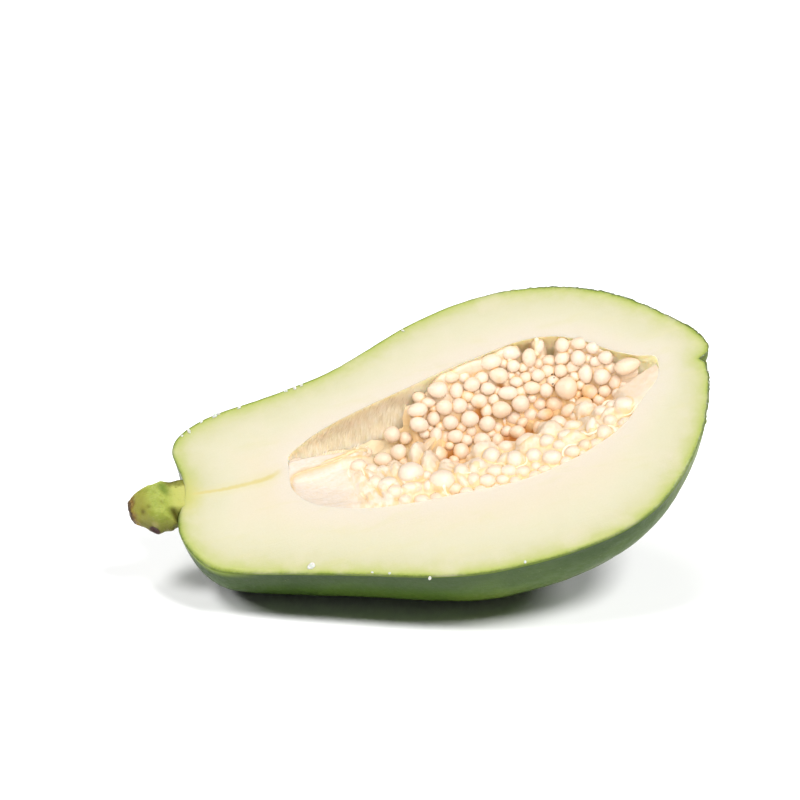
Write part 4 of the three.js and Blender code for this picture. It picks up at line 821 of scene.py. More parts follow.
def build_pulp(seeds, mat):
    """One piece per cluster; the height field is shared, so neighbours meet without a step."""
    hx = np.concatenate([np.arange(35.3, 167.2, 0.42), [167.2]])
    for b in (66, 84, 90, 104, 112, 124, 134, 145):
        hx[np.abs(hx - b).argmin()] = b
    tt = T_GRID
    mid = 61
    X, T = np.meshgrid(hx, tt, indexing="ij")
    yn, yf = rims(X)
    Y = yn + (yf - yn) * T
    Z = level(X, Y, seeds)
    # banks sink into the wall at both rims and at the blossom end
    top = sstep(0.94, 0.985, T) * sstep(88, 98, X) * sstep(163, 150, X)
    for gx, gy, gr in TOPGAPS:
        top = top * (1 - np.exp(-(((X - gx) / (gr + 0.3)) ** 2) ** 1.5))
    Z = Z + (np.maximum(Z, -1.9 + 0.5 * noise(np.stack([X * 0.25, Y * 0, X * 0], -1), 216)) - Z) * top
    Z = Z - 1.0 * sstep(0.03, -0.02, T) * sstep(66, 74, X) * sstep(158, 152, X) - 0.7 * sstep(0.99, 1.03, T) - 0.8 * sstep(0.985, 1.03, T) * sstep(98, 88, X)
    Z = np.minimum(Z, -0.8 - 0.25 * noise(np.stack([X * 0.3, Y * 0.3, X * 0], -1), 205)) - 2.2 * np.exp(-np.maximum(165.5 - X, 0) / 1.5)
    # at the blossom end the near side is a smooth slope from the cut face down to the far wall
    yl = np.interp(X, TIP_X, TIP_Y)
    f = np.clip((Y - yn) / np.maximum(yl - yn, 0.4), 0, 1)
    slope = -0.16 - np.interp(X, [150, 156, 162, 166, 168], [4.2, 3.9, 2.7, 1.2, 0.6]) * f ** 1.5 + 0.10 * noise(np.stack([X * 0.5, Y * 0.5, X * 0], -1), 217) * np.clip(4 * f, 0, 1)
    slope = slope - 3.0 * np.clip(Y - yl, 0, 9)
    tip = sstep(151.5, 156.0, X + 0.4 * (Y + 8))
    Z = np.where(Y < yl + 1.2, Z + (np.maximum(Z, slope) - Z) * tip, Z)
    Z = np.where(T < 0, Z - 0.5 * tip, Z)
    # stem end: the septum starts level with the cut face; the near lobe is a soft dish, steep under the
    # septum and at its left end, running out gently at the near rim
    XY = np.stack([X, Y], -1).reshape(-1, 2)
    es = seg_dist(XY, np.array(DISH_EDGE), False).reshape(X.shape)
    eb = seg_dist(XY, _rim[:, 0, :2][_rim[:, 0, 0] > 38.5], False).reshape(X.shape)
    edge_y = np.interp(X, [q[0] for q in DISH_EDGE[2:]], [q[1] for q in DISH_EDGE[2:]])
    left_y = np.interp(Y, [q[1] for q in DISH_EDGE[:6]], [q[0] for q in DISH_EDGE[:6]])
    under = (Y < edge_y) & (T > 0) & (X > left_y) & (Y > -40)
    lip = np.interp(X, [36, 40, 46, 52, 58, 64], [-0.09, -0.12, -0.30, -0.65, -1.1, -1.7])
    dish = lip - (3.1 - 1.5 * sstep(48, 57, X)) * (1 - np.exp(-(es / 1.3) ** 1.5)) * np.clip(eb / 8.5, 0, 1) ** 0.8
    near = np.where(under, dish, np.where(T <= 0, -0.09, lip))
    near = near + (0.10 * noise(np.stack([X * 0.35, Y * 0.6, X * 0], -1), 207) + 0.05 * noise(np.stack([X * 1.1, Y * 1.6, X * 0], -1), 208)) * sstep(0.2, 1.5, eb) * sstep(37, 40, X)
    soft = np.where(under, sstep(63, 53, X + 2.6 * noise(np.stack([X * 0.3, Y * 0.4, X * 0], -1), 209)), sstep(71, 61, X) * sstep(2.6, 1.6, Y - np.interp(X, SEPTUM_X, SEPTUM_Y)))
    Z = Z * (1 - soft) + soft * near
    P = np.stack([X, Y, Z], -1)
    made = {}
    nx, nt = X.shape
    for name, side, x0, x1 in CLUSTERS:
        i0, i1 = int(np.abs(hx - x0).argmin()) if x0 > 40 else 0, int(np.abs(hx - x1).argmin()) if x1 < 165 else len(hx) - 1
        j0, j1 = {0: (0, mid), 1: (mid, nt - 1), 2: (0, nt - 1)}[side]
        # each piece runs two cells on under its neighbour, so no edge shows
        I, J = np.arange(max(i0 - 2, 0), min(i1 + 3, nx)), np.arange(max(j0 - 2, 0), min(j1 + 3, nt))
        G = P[np.ix_(I, J)].copy()
        over = np.maximum(np.maximum(i0 - I, I - i1)[:, None], 0) + np.maximum(np.maximum(j0 - J, J - j1)[None, :], 0)
        G[..., 2] -= 0.05 * over
        a, b = G.shape[:2]
        top = G.reshape(-1, 3)
        idx = np.arange(a * b).reshape(a, b)
        ring = list(idx[:, 0]) + list(idx[-1, 1:]) + list(idx[-2::-1, -1]) + list(idx[0, -2:0:-1])
        low = top[ring] + np.array([0, 0, -2.5])
        c = low.mean(0) - np.array([0, 0, 1.0])
        V = np.vstack([top, low, c])
        nl = len(ring)
        faces = [(idx[i, j], idx[i + 1, j], idx[i + 1, j + 1], idx[i, j + 1]) for i in range(a - 1) for j in range(b - 1)]
        for m in range(nl):
            p, q = ring[m], ring[(m + 1) % nl]
            lp, lq = a * b + m, a * b + (m + 1) % nl
            faces.append((q, p, lp, lq))
            faces.append((lq, lp, a * b + nl))
        made[name] = (V, faces, None)
    return made, (X, Y, Z)


def seed_mesh(s, k, rng, base):
    V0, F = base[s.level]
    V = V0.copy()
    egg = rng.uniform(0.02, 0.10) * (1 if rng.random() < 0.5 else -1)
    V[:, 1:] *= (1 + egg * V[:, 0])[:, None]
    V *= (1 + 0.022 * noise(V * 1.6 + 7.7 * k, 300 + k % 5) + 0.010 * noise(V * 4.0 + 3.1 * k, 310))[:, None]
    tip = np.exp(-((V[:, 0] * np.sign(egg) + 1.0) / 0.16) ** 2)
    V[:, 0] -= np.sign(egg) * 0.05 * tip
    return V @ s.M.T + s.c, F


def crevice(P, C, Rr, own):
    """How close each point lies to the other seeds, for painted contact shade: 1 in the contact, 0 in the open."""
    out = np.zeros(len(P))
    near = np.where(np.linalg.norm(C - P.mean(0), axis=1) < 9.5)[0]
    for j in near:
        if j == own:
            continue
        d = np.linalg.norm(P - C[j], axis=1) - Rr[j]
        out = np.maximum(out, np.exp(-np.maximum(d, 0) / 0.62))
    return out


# ------------------------------------------------------------------ seeds and pulp, one piece per cluster
def rim_line_shade_of(V):
    """1 on the rim of the near lobe, fading over a millimetre: where painted rim shade goes."""
    out = np.zeros(len(V))
    m = (V[:, 0] < 70) & (V[:, 1] < 8)
    if m.any():
        d = seg_dist(V[m][:, :2], np.array(DISH_EDGE[:10]), False)
        out[m] = np.exp(-(d / 0.75) ** 2) * sstep(-9.5, -7.0, V[m][:, 1])
    return out


def build_clusters(mat_pulp, mat_seed):
    seeds, C, Rr = make_seeds()
    pulp, field = build_pulp(seeds, mat_pulp)
    X, Y, Z = field
    rng = np.random.default_rng(11)
    base = {3: ico(3), 2: ico(2)}
    groups = {c[0]: [] for c in CLUSTERS}
    for k, s in enumerate(seeds):
        t = float(t_of(s.c[0], s.c[1]))
        side = 0 if t < VALLEY else 1
        if s.c[0] < 66:
            name = CLUSTERS[0][0]
        else:
            name = next((c[0] for c in CLUSTERS[1:] if c[1] == side and s.c[0] < c[3]), None) or [c[0] for c in CLUSTERS if c[1] == side][-1]
        groups[name].append(k)
    # blurred level of the pulp, to tell its hollows from its tops: painted shade goes into the hollows
    B = Z.copy()
    for _ in range(14):
        Q = np.pad(B, 1, mode="edge")
        B = (Q[:-2, 1:-1] + Q[2:, 1:-1] + Q[1:-1, :-2] + Q[1:-1, 2:] + 2 * B) / 6
    hollow_shade_grid = B - Z
    # how far each seed lies below the ones around it, for painted shade on sunk seeds
    D = C @ E3
    duv = np.hypot((C @ E1)[:, None] - (C @ E1)[None], (C @ E2)[:, None] - (C @ E2)[None])
    w = np.exp(-duv ** 2 / (2 * 3.6 ** 2)) * (duv > 0.1)
    sunk = np.clip((w * np.clip(D[None] - D[:, None] - 0.6, 0, 4)).sum(1) / np.maximum(w.sum(1), 0.3) / 1.6, 0, 1)

    # painted warm shade round the open gaps between the banks
    def glow(P):
        g = np.zeros(len(P))
        for gx, gy, gz, gr in GAPS:
            g += np.exp(-(((P[:, 0] - gx) ** 2 + (P[:, 1] - gy) ** 2) / (2 * (gr * 1.2 + 0.6) ** 2))) * min(1.0, gr + 0.2)
        return np.clip(g, 0, 1)

    made = []
    for name, side, x0, x1 in CLUSTERS:
        V, F, nr = pulp[name]
        verts, faces, mi = [V], list(F), [0] * len(F)
        n = len(V)
        # attributes of the pulp: nearness to seeds, hollows, depth, which carry its painted shade
        ix = np.clip(np.searchsorted(X[:, 0], V[:, 0]), 0, X.shape[0] - 1)
        tt = t_of(V[:, 0], V[:, 1])
        jt = np.clip(np.abs(T_GRID[None, :] - tt[:, None]).argmin(1), 0, X.shape[1] - 1) if len(V) < 60000 else None
        pulp_hollow_shade = hollow_shade_grid[ix, jt]
        # painted contact shade on the pulp close to each seed
        pulp_contact_shade = np.zeros(len(V))
        near = np.where((C[:, 0] > x0 - 6) & (C[:, 0] < x1 + 6))[0]
        for j in near:
            d = np.linalg.norm(V - C[j], axis=1) - Rr[j]
            pulp_contact_shade = np.maximum(pulp_contact_shade, np.exp(-np.maximum(d, 0) / 0.8))
        contact_shade, hollow, rnd, warm_shade = [pulp_contact_shade], [pulp_hollow_shade], [np.zeros(len(V))], [glow(V)]
        for k in groups[name]:
            s = seeds[k]
            sv, sf = seed_mesh(s, k, rng, base)
            contact_shade.append(crevice(sv, C, Rr, k))
            hollow.append(np.zeros(len(sv)))
            rnd.append(np.full(len(sv), rng.uniform(0, 1)))
            # painted warm shade on seeds near the open gaps and on sunk seeds, stronger on the far bank
            side_k = 1.0 if float(t_of(s.c[0], s.c[1])) > 0.44 else 0.35
            warm_shade.append(np.clip(glow(sv) * 0.6 * side_k + sunk[k] * 0.15 * side_k, 0, 1))
            verts.append(sv)
            faces.extend([(a + n, b + n, c + n) for a, b, c in sf])
            mi.extend([1] * len(sf))
            n += len(sv)
        V = np.vstack(verts)
        o = make(name, V, faces, [mat_pulp, mat_seed], mi,
                 {"contact_shade": np.concatenate(contact_shade), "hollow": np.concatenate(hollow), "rnd": np.concatenate(rnd), "warm_shade": np.concatenate(warm_shade),
                  "deep": np.clip(-V[:, 2], 0, None), "edge": rim_line_shade_of(V)}, name, recalc=True)
        made.append(o)
    return seeds, C, Rr, field


def level_at(field, x, y):
    X, Y, Z = field
    i = np.clip(np.searchsorted(X[:, 0], x), 0, X.shape[0] - 1)
    t = t_of(np.array(x, float), np.array(y, float))
    j = np.abs(T_GRID - t).argmin()
    return float(Z[i, j])


def on_top(p, seeds, field, look=np.array([-0.0354, -0.5692, 0.8214])):
    """The first thing met by a line that comes down to p from outside: a seed or the pulp."""
    p = np.array(p, float)
    best = -1e9
    for s in seeds:
        Mi = np.linalg.inv(s.M)
        o, d = Mi @ (p - s.c), Mi @ look
        A, B, Cc = d @ d, 2 * o @ d, o @ o - 1
        D = B * B - 4 * A * Cc
        if D > 0:
            best = max(best, (-B + math.sqrt(D)) / (2 * A))
    lo = -20.0
    for k in np.linspace(12, -20, 161):
        q = p + look * k
        if 40 < q[0] < 165 and 0 < float(t_of(q[0], q[1])) < 1 and q[2] < level_at(field, q[0], q[1]):
            lo = k
            break
    k = max(best, lo)
    return p + look * k


# ------------------------------------------------------------------ septum, fibres, latex, specks
def wall_far(x, depth):
    """A point of the far cavity wall at x, a given depth below the cut face."""
    V = np.linspace(0, 1, 241)
    AL = np.linspace(math.pi / 2, math.pi, 61)
    G = wall_far.grid = getattr(wall_far, "grid", None) if getattr(wall_far, "grid", None) is not None else cavity_at(V[:, None], AL[None, :])
    d = (G[..., 0] - x) ** 2 + (G[..., 2] + depth) ** 2
    return G.reshape(-1, 3)[d.argmin()]


BRIDGES = [((71.6, 4.6), (74.2, 7.4), (77.0, 8.6), (80.6, 10.4)), ((72.6, 3.4), (76.2, 5.4), (79.6, 5.2), (82.4, 6.2)),
           ((70.2, 5.2), (72.6, 8.6), (76.4, 11.6)), ((76.4, 7.8), (79.0, 11.4), (82.4, 14.2))]


def build_septum(mat, field):
    """The strand along the top of the septum and the edge of the near lobe, both half sunk in the pulp."""
    parts = []
    main = [(49.0, 0.6, 0), (54.5, 1.1, 0), (57.5, 1.7, 0), (61.0, 2.3, 0), (64.2, 2.9, 0), (67.2, 3.7, 0), (70.2, 4.6, 0), (73.0, 5.6, 0)]
    p = smooth_path(main, 90)
    z = np.array([max(level_at(field, x, y - dy) for dy in (0.0, 0.5, 1.0)) for x, y, _ in p])
    for _ in range(10):
        z[1:-1] = (z[:-2] + z[1:-1] + z[2:]) / 3
    p[:, 2] = z + 0.02 + 0.15 * noise(p * 0.5, 401)
    p[:, 1] += 0.25 * noise(p * 0.35, 403)
    parts.append(tube(p, np.interp(np.linspace(0, 1, 90), [0, .15, .5, .85, 1], [0.10, 0.50, 0.78, 0.72, 0.30]), 12, 0.7, seed=4, rough=0.35))
    low = [(37.7, -7.0, 0), (37.6, -4.6, 0), (38.1, -2.7, 0), (39.3, -1.55, 0), (41.6, -1.0, 0), (45.8, -0.75, 0), (50.0, -0.4, 0), (54.4, 0.15, 0), (57.5, 1.0, 0)]
    p = smooth_path(low, 90)
    z = np.array([max(level_at(field, x, y + dy) for dy in (0.15, 0.6)) for x, y, _ in p])
    for _ in range(6):
        z[1:-1] = (z[:-2] + z[1:-1] + z[2:]) / 3
    p[:, 2] = z - 0.12 + 0.04 * noise(p * 0.6, 402)
    parts.append(tube(p, np.interp(np.linspace(0, 1, 90), [0, .2, .5, .8, 1], [0.08, 0.20, 0.24, 0.30, 0.25]), 8, 0.7, seed=5, rough=0.25))
    # it frays into soft strands over the hollow before the first seeds of the far bank
    for k, pts in enumerate(BRIDGES):
        q = smooth_path([(x, y, 0.0) for x, y in pts], 30)
        q[:, 2] = [level_at(field, x, y) for x, y, _ in q]
        for _ in range(8):
            q[1:-1, 2] = (q[:-2, 2] + q[1:-1, 2] + q[2:, 2]) / 3
        q[:, 2] += 0.10 - 0.6 * np.abs(np.linspace(-1, 1, 30)) ** 3 + 0.15 * noise(q * 0.7, 404)
        r = 0.42 + 0.13 * math.sin(2.4 * k)
        parts.append(tube(q, np.interp(np.linspace(0, 1, 30), [0, .3, .7, 1], [0.2, r, 0.8 * r, 0.15]), 8, 0.8, seed=20 + k, rough=0.35))
    V, F = join(parts)
    return make("septum", V, F, [mat], None, {"rnd": np.zeros(len(V))})


# torn strands over the left end of the near bank, across the cut face
STRANDS = [((61.5, -0.6), (62.0, -4.2), (60.8, -7.6)), ((57.8, 0.2), (57.0, -3.4), (58.4, -5.6)), ((64.6, 2.2), (69.0, 0.8), (72.6, 2.6)),
           ((92.0, -13.6), (96.4, -15.4), (101.0, -14.0))]


def build_fibres(mat, seeds, field):
    rng = np.random.default_rng(23)
    parts, rnd = [], []

    def put(path, radii, sides=6, rough=0.15):
        n = len(path)
        v, f = tube(path, np.interp(np.linspace(0, 1, n), np.linspace(0, 1, len(radii)), radii), sides, 1.0, seed=int(rng.integers(1000)), rough=rough)
        parts.append((v, f))
        rnd.append(np.full(len(v), rng.uniform()))
    # threads that lie on the far wall of the stem end
    for k in range(150):
        x = rng.uniform(41, 84)
        d0 = rng.uniform(0.8, 9.5)
        lean = -0.55 + rng.uniform(-0.25, 0.25)
        drop = rng.uniform(0.9, 2.6)
        pts = []
        for u in np.linspace(0, 1, 4):
            q = wall_far(x + lean * drop * u + rng.uniform(-0.03, 0.03), d0 + drop * u)
            pts.append(q + np.array([0, -0.9, 0.3]) * 0.02)
        r = rng.uniform(0.06, 0.11)
        put(smooth_path(pts, 9), [0.03, r, r * 0.8, 0.03], 5, 0.1)
    # short bright threads that stand off the septum into the far lobe
    for k in range(46):
        x = rng.uniform(44, 72)
        y = np.interp(x, [44, 50, 56, 60, 64, 68, 72], [3.6, 3.1, 2.6, 2.9, 3.4, 4.4, 5.6]) + rng.uniform(-0.2, 0.4)
        z = max(level_at(field, x, y - 0.6), level_at(field, x, y - 1.2)) - 0.15
        q = np.array([x, y, z])
        e = q + np.array([rng.uniform(-1.0, 2.8), rng.uniform(0.9, 3.0), rng.uniform(-2.0, -0.5)])
        m = (q + e) / 2 + np.array([0, rng.uniform(0.0, 0.3), rng.uniform(0.1, 0.5)])
        put(smooth_path([q - [0, 0.3, 0.1], m, e], 12), [rng.uniform(0.09, 0.17), 0.09, 0.03], 6)
    for pts in STRANDS:
        q = smooth_path([(x, y, 0.0) for x, y in pts], 26)
        z = np.array([on_top((x, y, -6.0), seeds, field)[2] for x, y, _ in q])
        q = np.array([on_top((x, y, -6.0), seeds, field) for x, y, _ in q])
        for _ in range(10):
            q[1:-1] = (q[:-2] + q[1:-1] * 1.2 + q[2:]) / 3.2
        r = rng.uniform(0.30, 0.48)
        q[:, 2] -= 0.15 + 0.6 * np.abs(np.linspace(-1, 1, 26)) ** 3
        put(q, [0.12, r, r * rng.uniform(0.7, 1.1), 0.14], 8, 0.3)
    # stalks of seeds on the far bank, where gaps show them
    for s in seeds:
        if s.kind == 0 and rng.random() < 0.30 and float(t_of(s.c[0], s.c[1])) > 0.55:
            a = s.c + np.array([0, 0.3, -0.2]) * s.r
            b = s.c + np.array([rng.uniform(-0.5, 0.5), 1.0, -1.5]) * s.r * 1.6
            put(smooth_path([a, (a + b) / 2 + [rng.uniform(-.4, .4), 0, 0], b], 8), [0.45, 0.22], 6)
    # two thick stalks that stand at the top of the far bank
    for x, y, z, dx, dy, dz in ((131.7, 26.2, -0.7, -1.2, -2.6, -5.0), (121.0, 25.0, -1.6, 0.2, -1.6, -4.0)):
        put(smooth_path([(x, y, z), (x + dx * 0.4, y + dy * 0.2 - 0.5, z + dz * 0.5), (x + dx, y + dy, z + dz)], 14), [0.8, 1.1], 10, 0.12)
    V, F = join(parts)
    return make("cavity_fibres", V, F, [mat], None, {"rnd": np.concatenate(rnd)})


def build_loops(mat, seeds, field):
    """Torn edges of the skins round the seeds of the near bank."""
    rng = np.random.default_rng(31)
    parts, rnd = [], []
    near = [s for s in seeds if s.kind == 0 and float(t_of(s.c[0], s.c[1])) < 0.40]
    for k, s in enumerate(near):
        if rng.random() < 0.72 or s.c[0] < 88:
            continue
        a0, span = rng.uniform(0, 2 * math.pi), rng.uniform(1.2, 3.4)
        A = np.linspace(a0, a0 + span, 26)
        rr = (s.r + 0.35) * rng.uniform(0.95, 1.25)
        p = np.stack([s.c[0] + rr * np.cos(A) * 1.1, s.c[1] + rr * np.sin(A), np.zeros_like(A)], 1)
        p[:, 2] = [max(level_at(field, q[0], q[1]) + 0.10, s.c[2] - 0.3) for q in p]
        for _ in range(4):
            p[1:-1, 2] = (p[:-2, 2] + p[1:-1, 2] + p[2:, 2]) / 3
        p[:, 2] = np.minimum(p[:, 2] + 0.25 * np.sin(np.linspace(0, math.pi, 26)), -0.4)
        t = np.linspace(0, 1, 26)
        p[:, 2] -= 0.16 + 0.25 * np.abs(np.linspace(-1, 1, 26)) ** 2 + 0.12 * noise(p * 0.8, 405)
        v, f = tube(p, 0.06 + rng.uniform(0.30, 0.46) * np.sin(math.pi * t) ** 0.9, 8, rng.uniform(0.55, 0.9), seed=k, rough=0.35)
        parts.append((v, f))
        rnd.append(np.full(len(v), rng.uniform()))
    V, F = join(parts)
    return make("seed_skins", V, F, [mat], None, {"rnd": np.concatenate(rnd)})


def build_latex(mat):
    """Beads of dried latex along the peel and on the cut face."""
    rng = np.random.default_rng(41)
    V0, F0 = ico(3)
    parts = []
    spots = [(37.0, -37.7, 1.15), (73.0, -54.2, 0.55), (104.0, -57.9, 0.5), (43.9, 32.8, 0.6), (47.2, 33.0, 0.75), (49.6, 33.3, 0.5), (13.4, 29.9, 0.6),
             (18.2, 30.7, 0.8), (19.6, 31.1, 0.5), (27.0, 31.3, 0.6), (88.5, 44.3, 0.5), (8.5, 27.4, 0.7), (61.0, -48.3, 0.45), (5.8, 26.3, 0.5), (55.6, -46.2, 0.4)]
    for k, (x, y, r) in enumerate(spots):
        V = V0 * (1 + 0.22 * noise(V0 * 1.3 + 11 * k, 420 + k))[:, None]
        V = V * np.array([r * rng.uniform(0.9, 1.35), r * rng.uniform(0.7, 0.95), r * 0.42])
        a = rng.uniform(0, math.pi)
        c, s = math.cos(a), math.sin(a)
        V = np.stack([V[:, 0] * c - V[:, 1] * s, V[:, 0] * s + V[:, 1] * c, V[:, 2]], 1) + np.array([x, y, 0.05])
        parts.append((V, F0))
    # flecks on the ragged peel of the blossom end
    L1, LF = ico(2)
    u = np.concatenate([rng.uniform(0.60, 0.97, 26), rng.uniform(0.86, 0.995, 14)])
    for k, uu in enumerate(u):
        far = k < 26
        p = skin_at(np.array(uu), np.array(math.pi if far else 0.0))
        q = skin_at(np.array(min(uu + 0.004, 1)), np.array(math.pi if far else 0.0))
        r = rng.uniform(0.12, 0.28)
        d = q - p
        a = math.atan2(d[1], d[0])
        V = L1 * (1 + 0.3 * noise(L1 * 1.5 + 5 * k, 450))[:, None] * np.array([r * rng.uniform(1.0, 2.2), r * 0.8, r])
        c, s = math.cos(a), math.sin(a)
        out = np.array([p[0] - 95, p[1], 0])
        out /= np.linalg.norm(out)
        V = np.stack([V[:, 0] * c - V[:, 1] * s, V[:, 0] * s + V[:, 1] * c, V[:, 2]], 1) + p + out * rng.uniform(0.15, 0.45) - np.array([0, 0, rng.uniform(0.25, 0.8)])
        parts.append((V, LF))
    V, F = join(parts)
    return make("latex", V, F, [mat], None, {"rnd": np.zeros(len(V))})


def build_specks(mat, seeds, field):
    rng = np.random.default_rng(51)
    V0, F0 = ico(2)
    parts = []
    spots = [(133.3, 12.6), (133.1, 7.9), (133.6, 10.9), (132.6, 8.6), (152.0, 19.0), (152.9, 17.3), (155.0, 16.1), (148.6, 14.8), (161.0, -3.8), (153.8, 16.7), (151.4, 18.1), (162.4, -2.9)]
    for k, (x, y) in enumerate(spots):
        p = on_top((x, y, -4.0), seeds, field)
        r = rng.uniform(0.20, 0.36)
        V = V0 * (1 + 0.3 * noise(V0 * 1.4 + 3 * k, 500))[:, None] * np.array([r, r * rng.uniform(0.6, 1.0), r * 0.5])
        parts.append((V + p, F0))
    V, F = join(parts)
    return make("specks", V, F, [mat], None, {"rnd": np.zeros(len(V))})


# ------------------------------------------------------------------ materials
ALBEDO = 0.62


def lin(r, g, b, k=1.0):
    """A display colour as a reflectance, a little below what full light shows."""
    return tuple((k * ALBEDO) * (c / 255 / 12.92 if c / 255 <= 0.04045 else ((c / 255 + 0.055) / 1.055) ** 2.4) for c in (r, g, b)) + (1.0,)


def alb(r, g, b, k=1.0):
    return lin(r, g, b, k / ALBEDO)


def sd(r, g, b):
    return alb(r, g, b, 0.87)


class Tree:
    def __init__(s, name):
        s.mat = bpy.data.materials.new(name)
        s.mat.use_nodes = True
        s.nt = s.mat.node_tree
        s.nt.nodes.clear()
        s.out = s.nt.nodes.new("ShaderNodeOutputMaterial")
        s.bsdf = s.nt.nodes.new("ShaderNodeBsdfPrincipled")
        s.nt.links.new(s.bsdf.outputs[0], s.out.inputs["Surface"])

    def node(s, kind, props=None, **ins):
        n = s.nt.nodes.new(kind)
        for k, v in (props or {}).items():
            setattr(n, k, v)
        for k, v in ins.items():
            s.put(n.inputs[k.replace("_", " ")] if not k.startswith("i") or not k[1:].isdigit() else n.inputs[int(k[1:])], v)
        return n

    def put(s, sock, v):
        if isinstance(v, bpy.types.NodeSocket):
            s.nt.links.new(v, sock)
        else:
            sock.default_value = v

    def attr(s, name, vector=False):
        n = s.node("ShaderNodeAttribute", {"attribute_name": name})
        return n.outputs["Vector"] if vector else n.outputs["Fac"]

    def math(s, op, a, b=None, c=None, clamp=False):
        n = s.node("ShaderNodeMath", {"operation": op, "use_clamp": clamp})
        for i, v in enumerate((a, b, c)):
            if v is not None:
                s.put(n.inputs[i], v)
        return n.outputs[0]

    def noise(s, vec, scale, detail=2.0, rough=0.5, distort=0.0):
        n = s.node("ShaderNodeTexNoise", {}, Vector=vec, Scale=scale, Detail=detail, Roughness=rough, Distortion=distort)
        return n.outputs["Fac"]

    def stretch(s, vec, x, y, z):
        n = s.node("ShaderNodeVectorMath", {"operation": "MULTIPLY"})
        s.put(n.inputs[0], vec)
        n.inputs[1].default_value = (x, y, z)
        return n.outputs[0]

    def ramp(s, fac, stops, interp="LINEAR", gain=1.0):
        n = s.node("ShaderNodeValToRGB", {}, Fac=fac)
        r = n.color_ramp
        r.interpolation = interp
        while len(r.elements) > 1:
            r.elements.remove(r.elements[-1])
        for k, (p, c) in enumerate(stops):
            e = r.elements[0] if k == 0 else r.elements.new(p)
            e.position = p
            e.color = c if len(c) == 4 else lin(*c, gain)
        return n.outputs["Color"]

    def mix(s, fac, a, b, mode="MIX"):
        n = s.node("ShaderNodeMix", {"data_type": "RGBA", "blend_type": mode})
        s.put(n.inputs[0], fac)
        s.put(n.inputs[6], a)
        s.put(n.inputs[7], b)
        return n.outputs[2]

    def range(s, v, a, b, c=0.0, d=1.0, smooth=True):
        n = s.node("ShaderNodeMapRange", {"interpolation_type": "SMOOTHSTEP" if smooth else "LINEAR"}, Value=v)
        for k, x in zip((1, 2, 3, 4), (a, b, c, d)):
            n.inputs[k].default_value = x
        return n.outputs[0]

    def bump(s, height, strength, dist, normal=None):
        n = s.node("ShaderNodeBump", {}, Height=height, Strength=strength, Distance=dist)
        if normal is not None:
            s.put(n.inputs["Normal"], normal)
        return n.outputs["Normal"]

    def set(s, **k):
        for a, v in k.items():
            s.put(s.bsdf.inputs[a.replace("_", " ")], v)


def mat_skin():
    """Waxy green peel: soft yellow-green bands on the lobes, fine pores, faint scuffs."""
    T = Tree("peel")
    loc, al, deep = T.attr("loc", True), T.attr("around"), T.attr("deep")
    big = T.noise(T.stretch(loc, 0.45, 1.2, 1.2), 0.030, 3, 0.55, 0.4)
    mid = T.noise(loc, 0.11, 4, 0.6)
    lobe = T.math("COSINE", T.math("MULTIPLY", T.math("SUBTRACT", al, RIDGE), 5.0))
    v = T.math("ADD", T.math("ADD", T.math("MULTIPLY", lobe, 0.17), T.math("MULTIPLY", big, 0.50)), T.math("ADD", T.math("MULTIPLY", mid, 0.14), 0.24))
    xyz = T.node("ShaderNodeSeparateXYZ", Vector=loc)
    stem_end = T.range(xyz.outputs[0], 0, 60, 0.10, 0.0)
    v = T.math("SUBTRACT", v, stem_end)
    col = T.ramp(v, [(0.30, (36, 60, 13)), (0.45, (46, 73, 17)), (0.58, (59, 87, 22)), (0.70, (80, 109, 28)), (0.85, (112, 136, 42))])
    streak = T.noise(T.stretch(loc, 0.05, 0.7, 0.7), 1.0, 4, 0.6)
    col = T.mix(T.range(streak, 0.50, 0.75, 0, 0.30), col, lin(62, 90, 28))
    pores = T.node("ShaderNodeTexVoronoi", {"feature": "F1"}, Vector=loc, Scale=0.55)
    pd = T.range(pores.outputs["Distance"], 0.06, 0.16, 1.0, 0.0)
    thin = T.math("GREATER_THAN", T.noise(loc, 0.35, 1), 0.56)
    col = T.mix(T.math("MULTIPLY", T.math("MULTIPLY", pd, thin), 0.35), col, lin(150, 162, 84))
    scuff = T.range(T.noise(T.stretch(loc, 0.9, 0.25, 0.25), 1.0, 5, 0.7, 0.6), 0.66, 0.76, 0, 0.45)
    col = T.mix(scuff, col, lin(108, 122, 72))
    # bloom that greys the peel, and the pale line just under the cut
    col = T.mix(T.math("MULTIPLY", T.noise(loc, 0.06, 2), 0.12), col, lin(108, 126, 80))
    col = T.mix(T.range(xyz.outputs[0], 146, 176, 0.0, 0.6), col, lin(136, 154, 52))
    rimg = T.math("MAXIMUM", T.range(deep, 0.0, 0.9, 1.0, 0.0), T.math("MULTIPLY", T.range(deep, 0.0, 3.5, 1.0, 0.0), T.range(xyz.outputs[0], 22, 6)))
    rag = T.attr("ragged")
    col = T.mix(T.math("MULTIPLY", rimg, T.math("SUBTRACT", 0.8, T.math("MULTIPLY", rag, 0.75))), col, lin(158, 182, 60))
    T.set(Base_Color=col, Roughness=T.range(T.noise(loc, 0.5, 3), 0.3, 0.7, 0.36, 0.50), Coat_Weight=0.06, Coat_Roughness=0.28,
          Specular_IOR_Level=0.22)
    h = T.math("ADD", T.math("MULTIPLY", T.noise(loc, 0.8, 4, 0.6), 0.6), T.math("MULTIPLY", T.noise(loc, 0.2, 2), 1.0))
    h = T.math("SUBTRACT", h, T.math("MULTIPLY", pd, 0.25))
    T.set(Normal=T.bump(h, 0.45, 0.0004))
    return T.mat


FLESH = [(0.0, (84, 108, 34)), (0.25, (118, 142, 44)), (0.6, (172, 190, 78)), (1.2, (204, 214, 120)), (2.4, (217, 220, 150)), (4.0, (227, 226, 172)), (6.0, (234, 230, 189)),
         (9.0, (240, 235, 200)), (13.0, (244, 238, 206)), (19.0, (249, 239, 210)), (28.0, (252, 238, 211))]


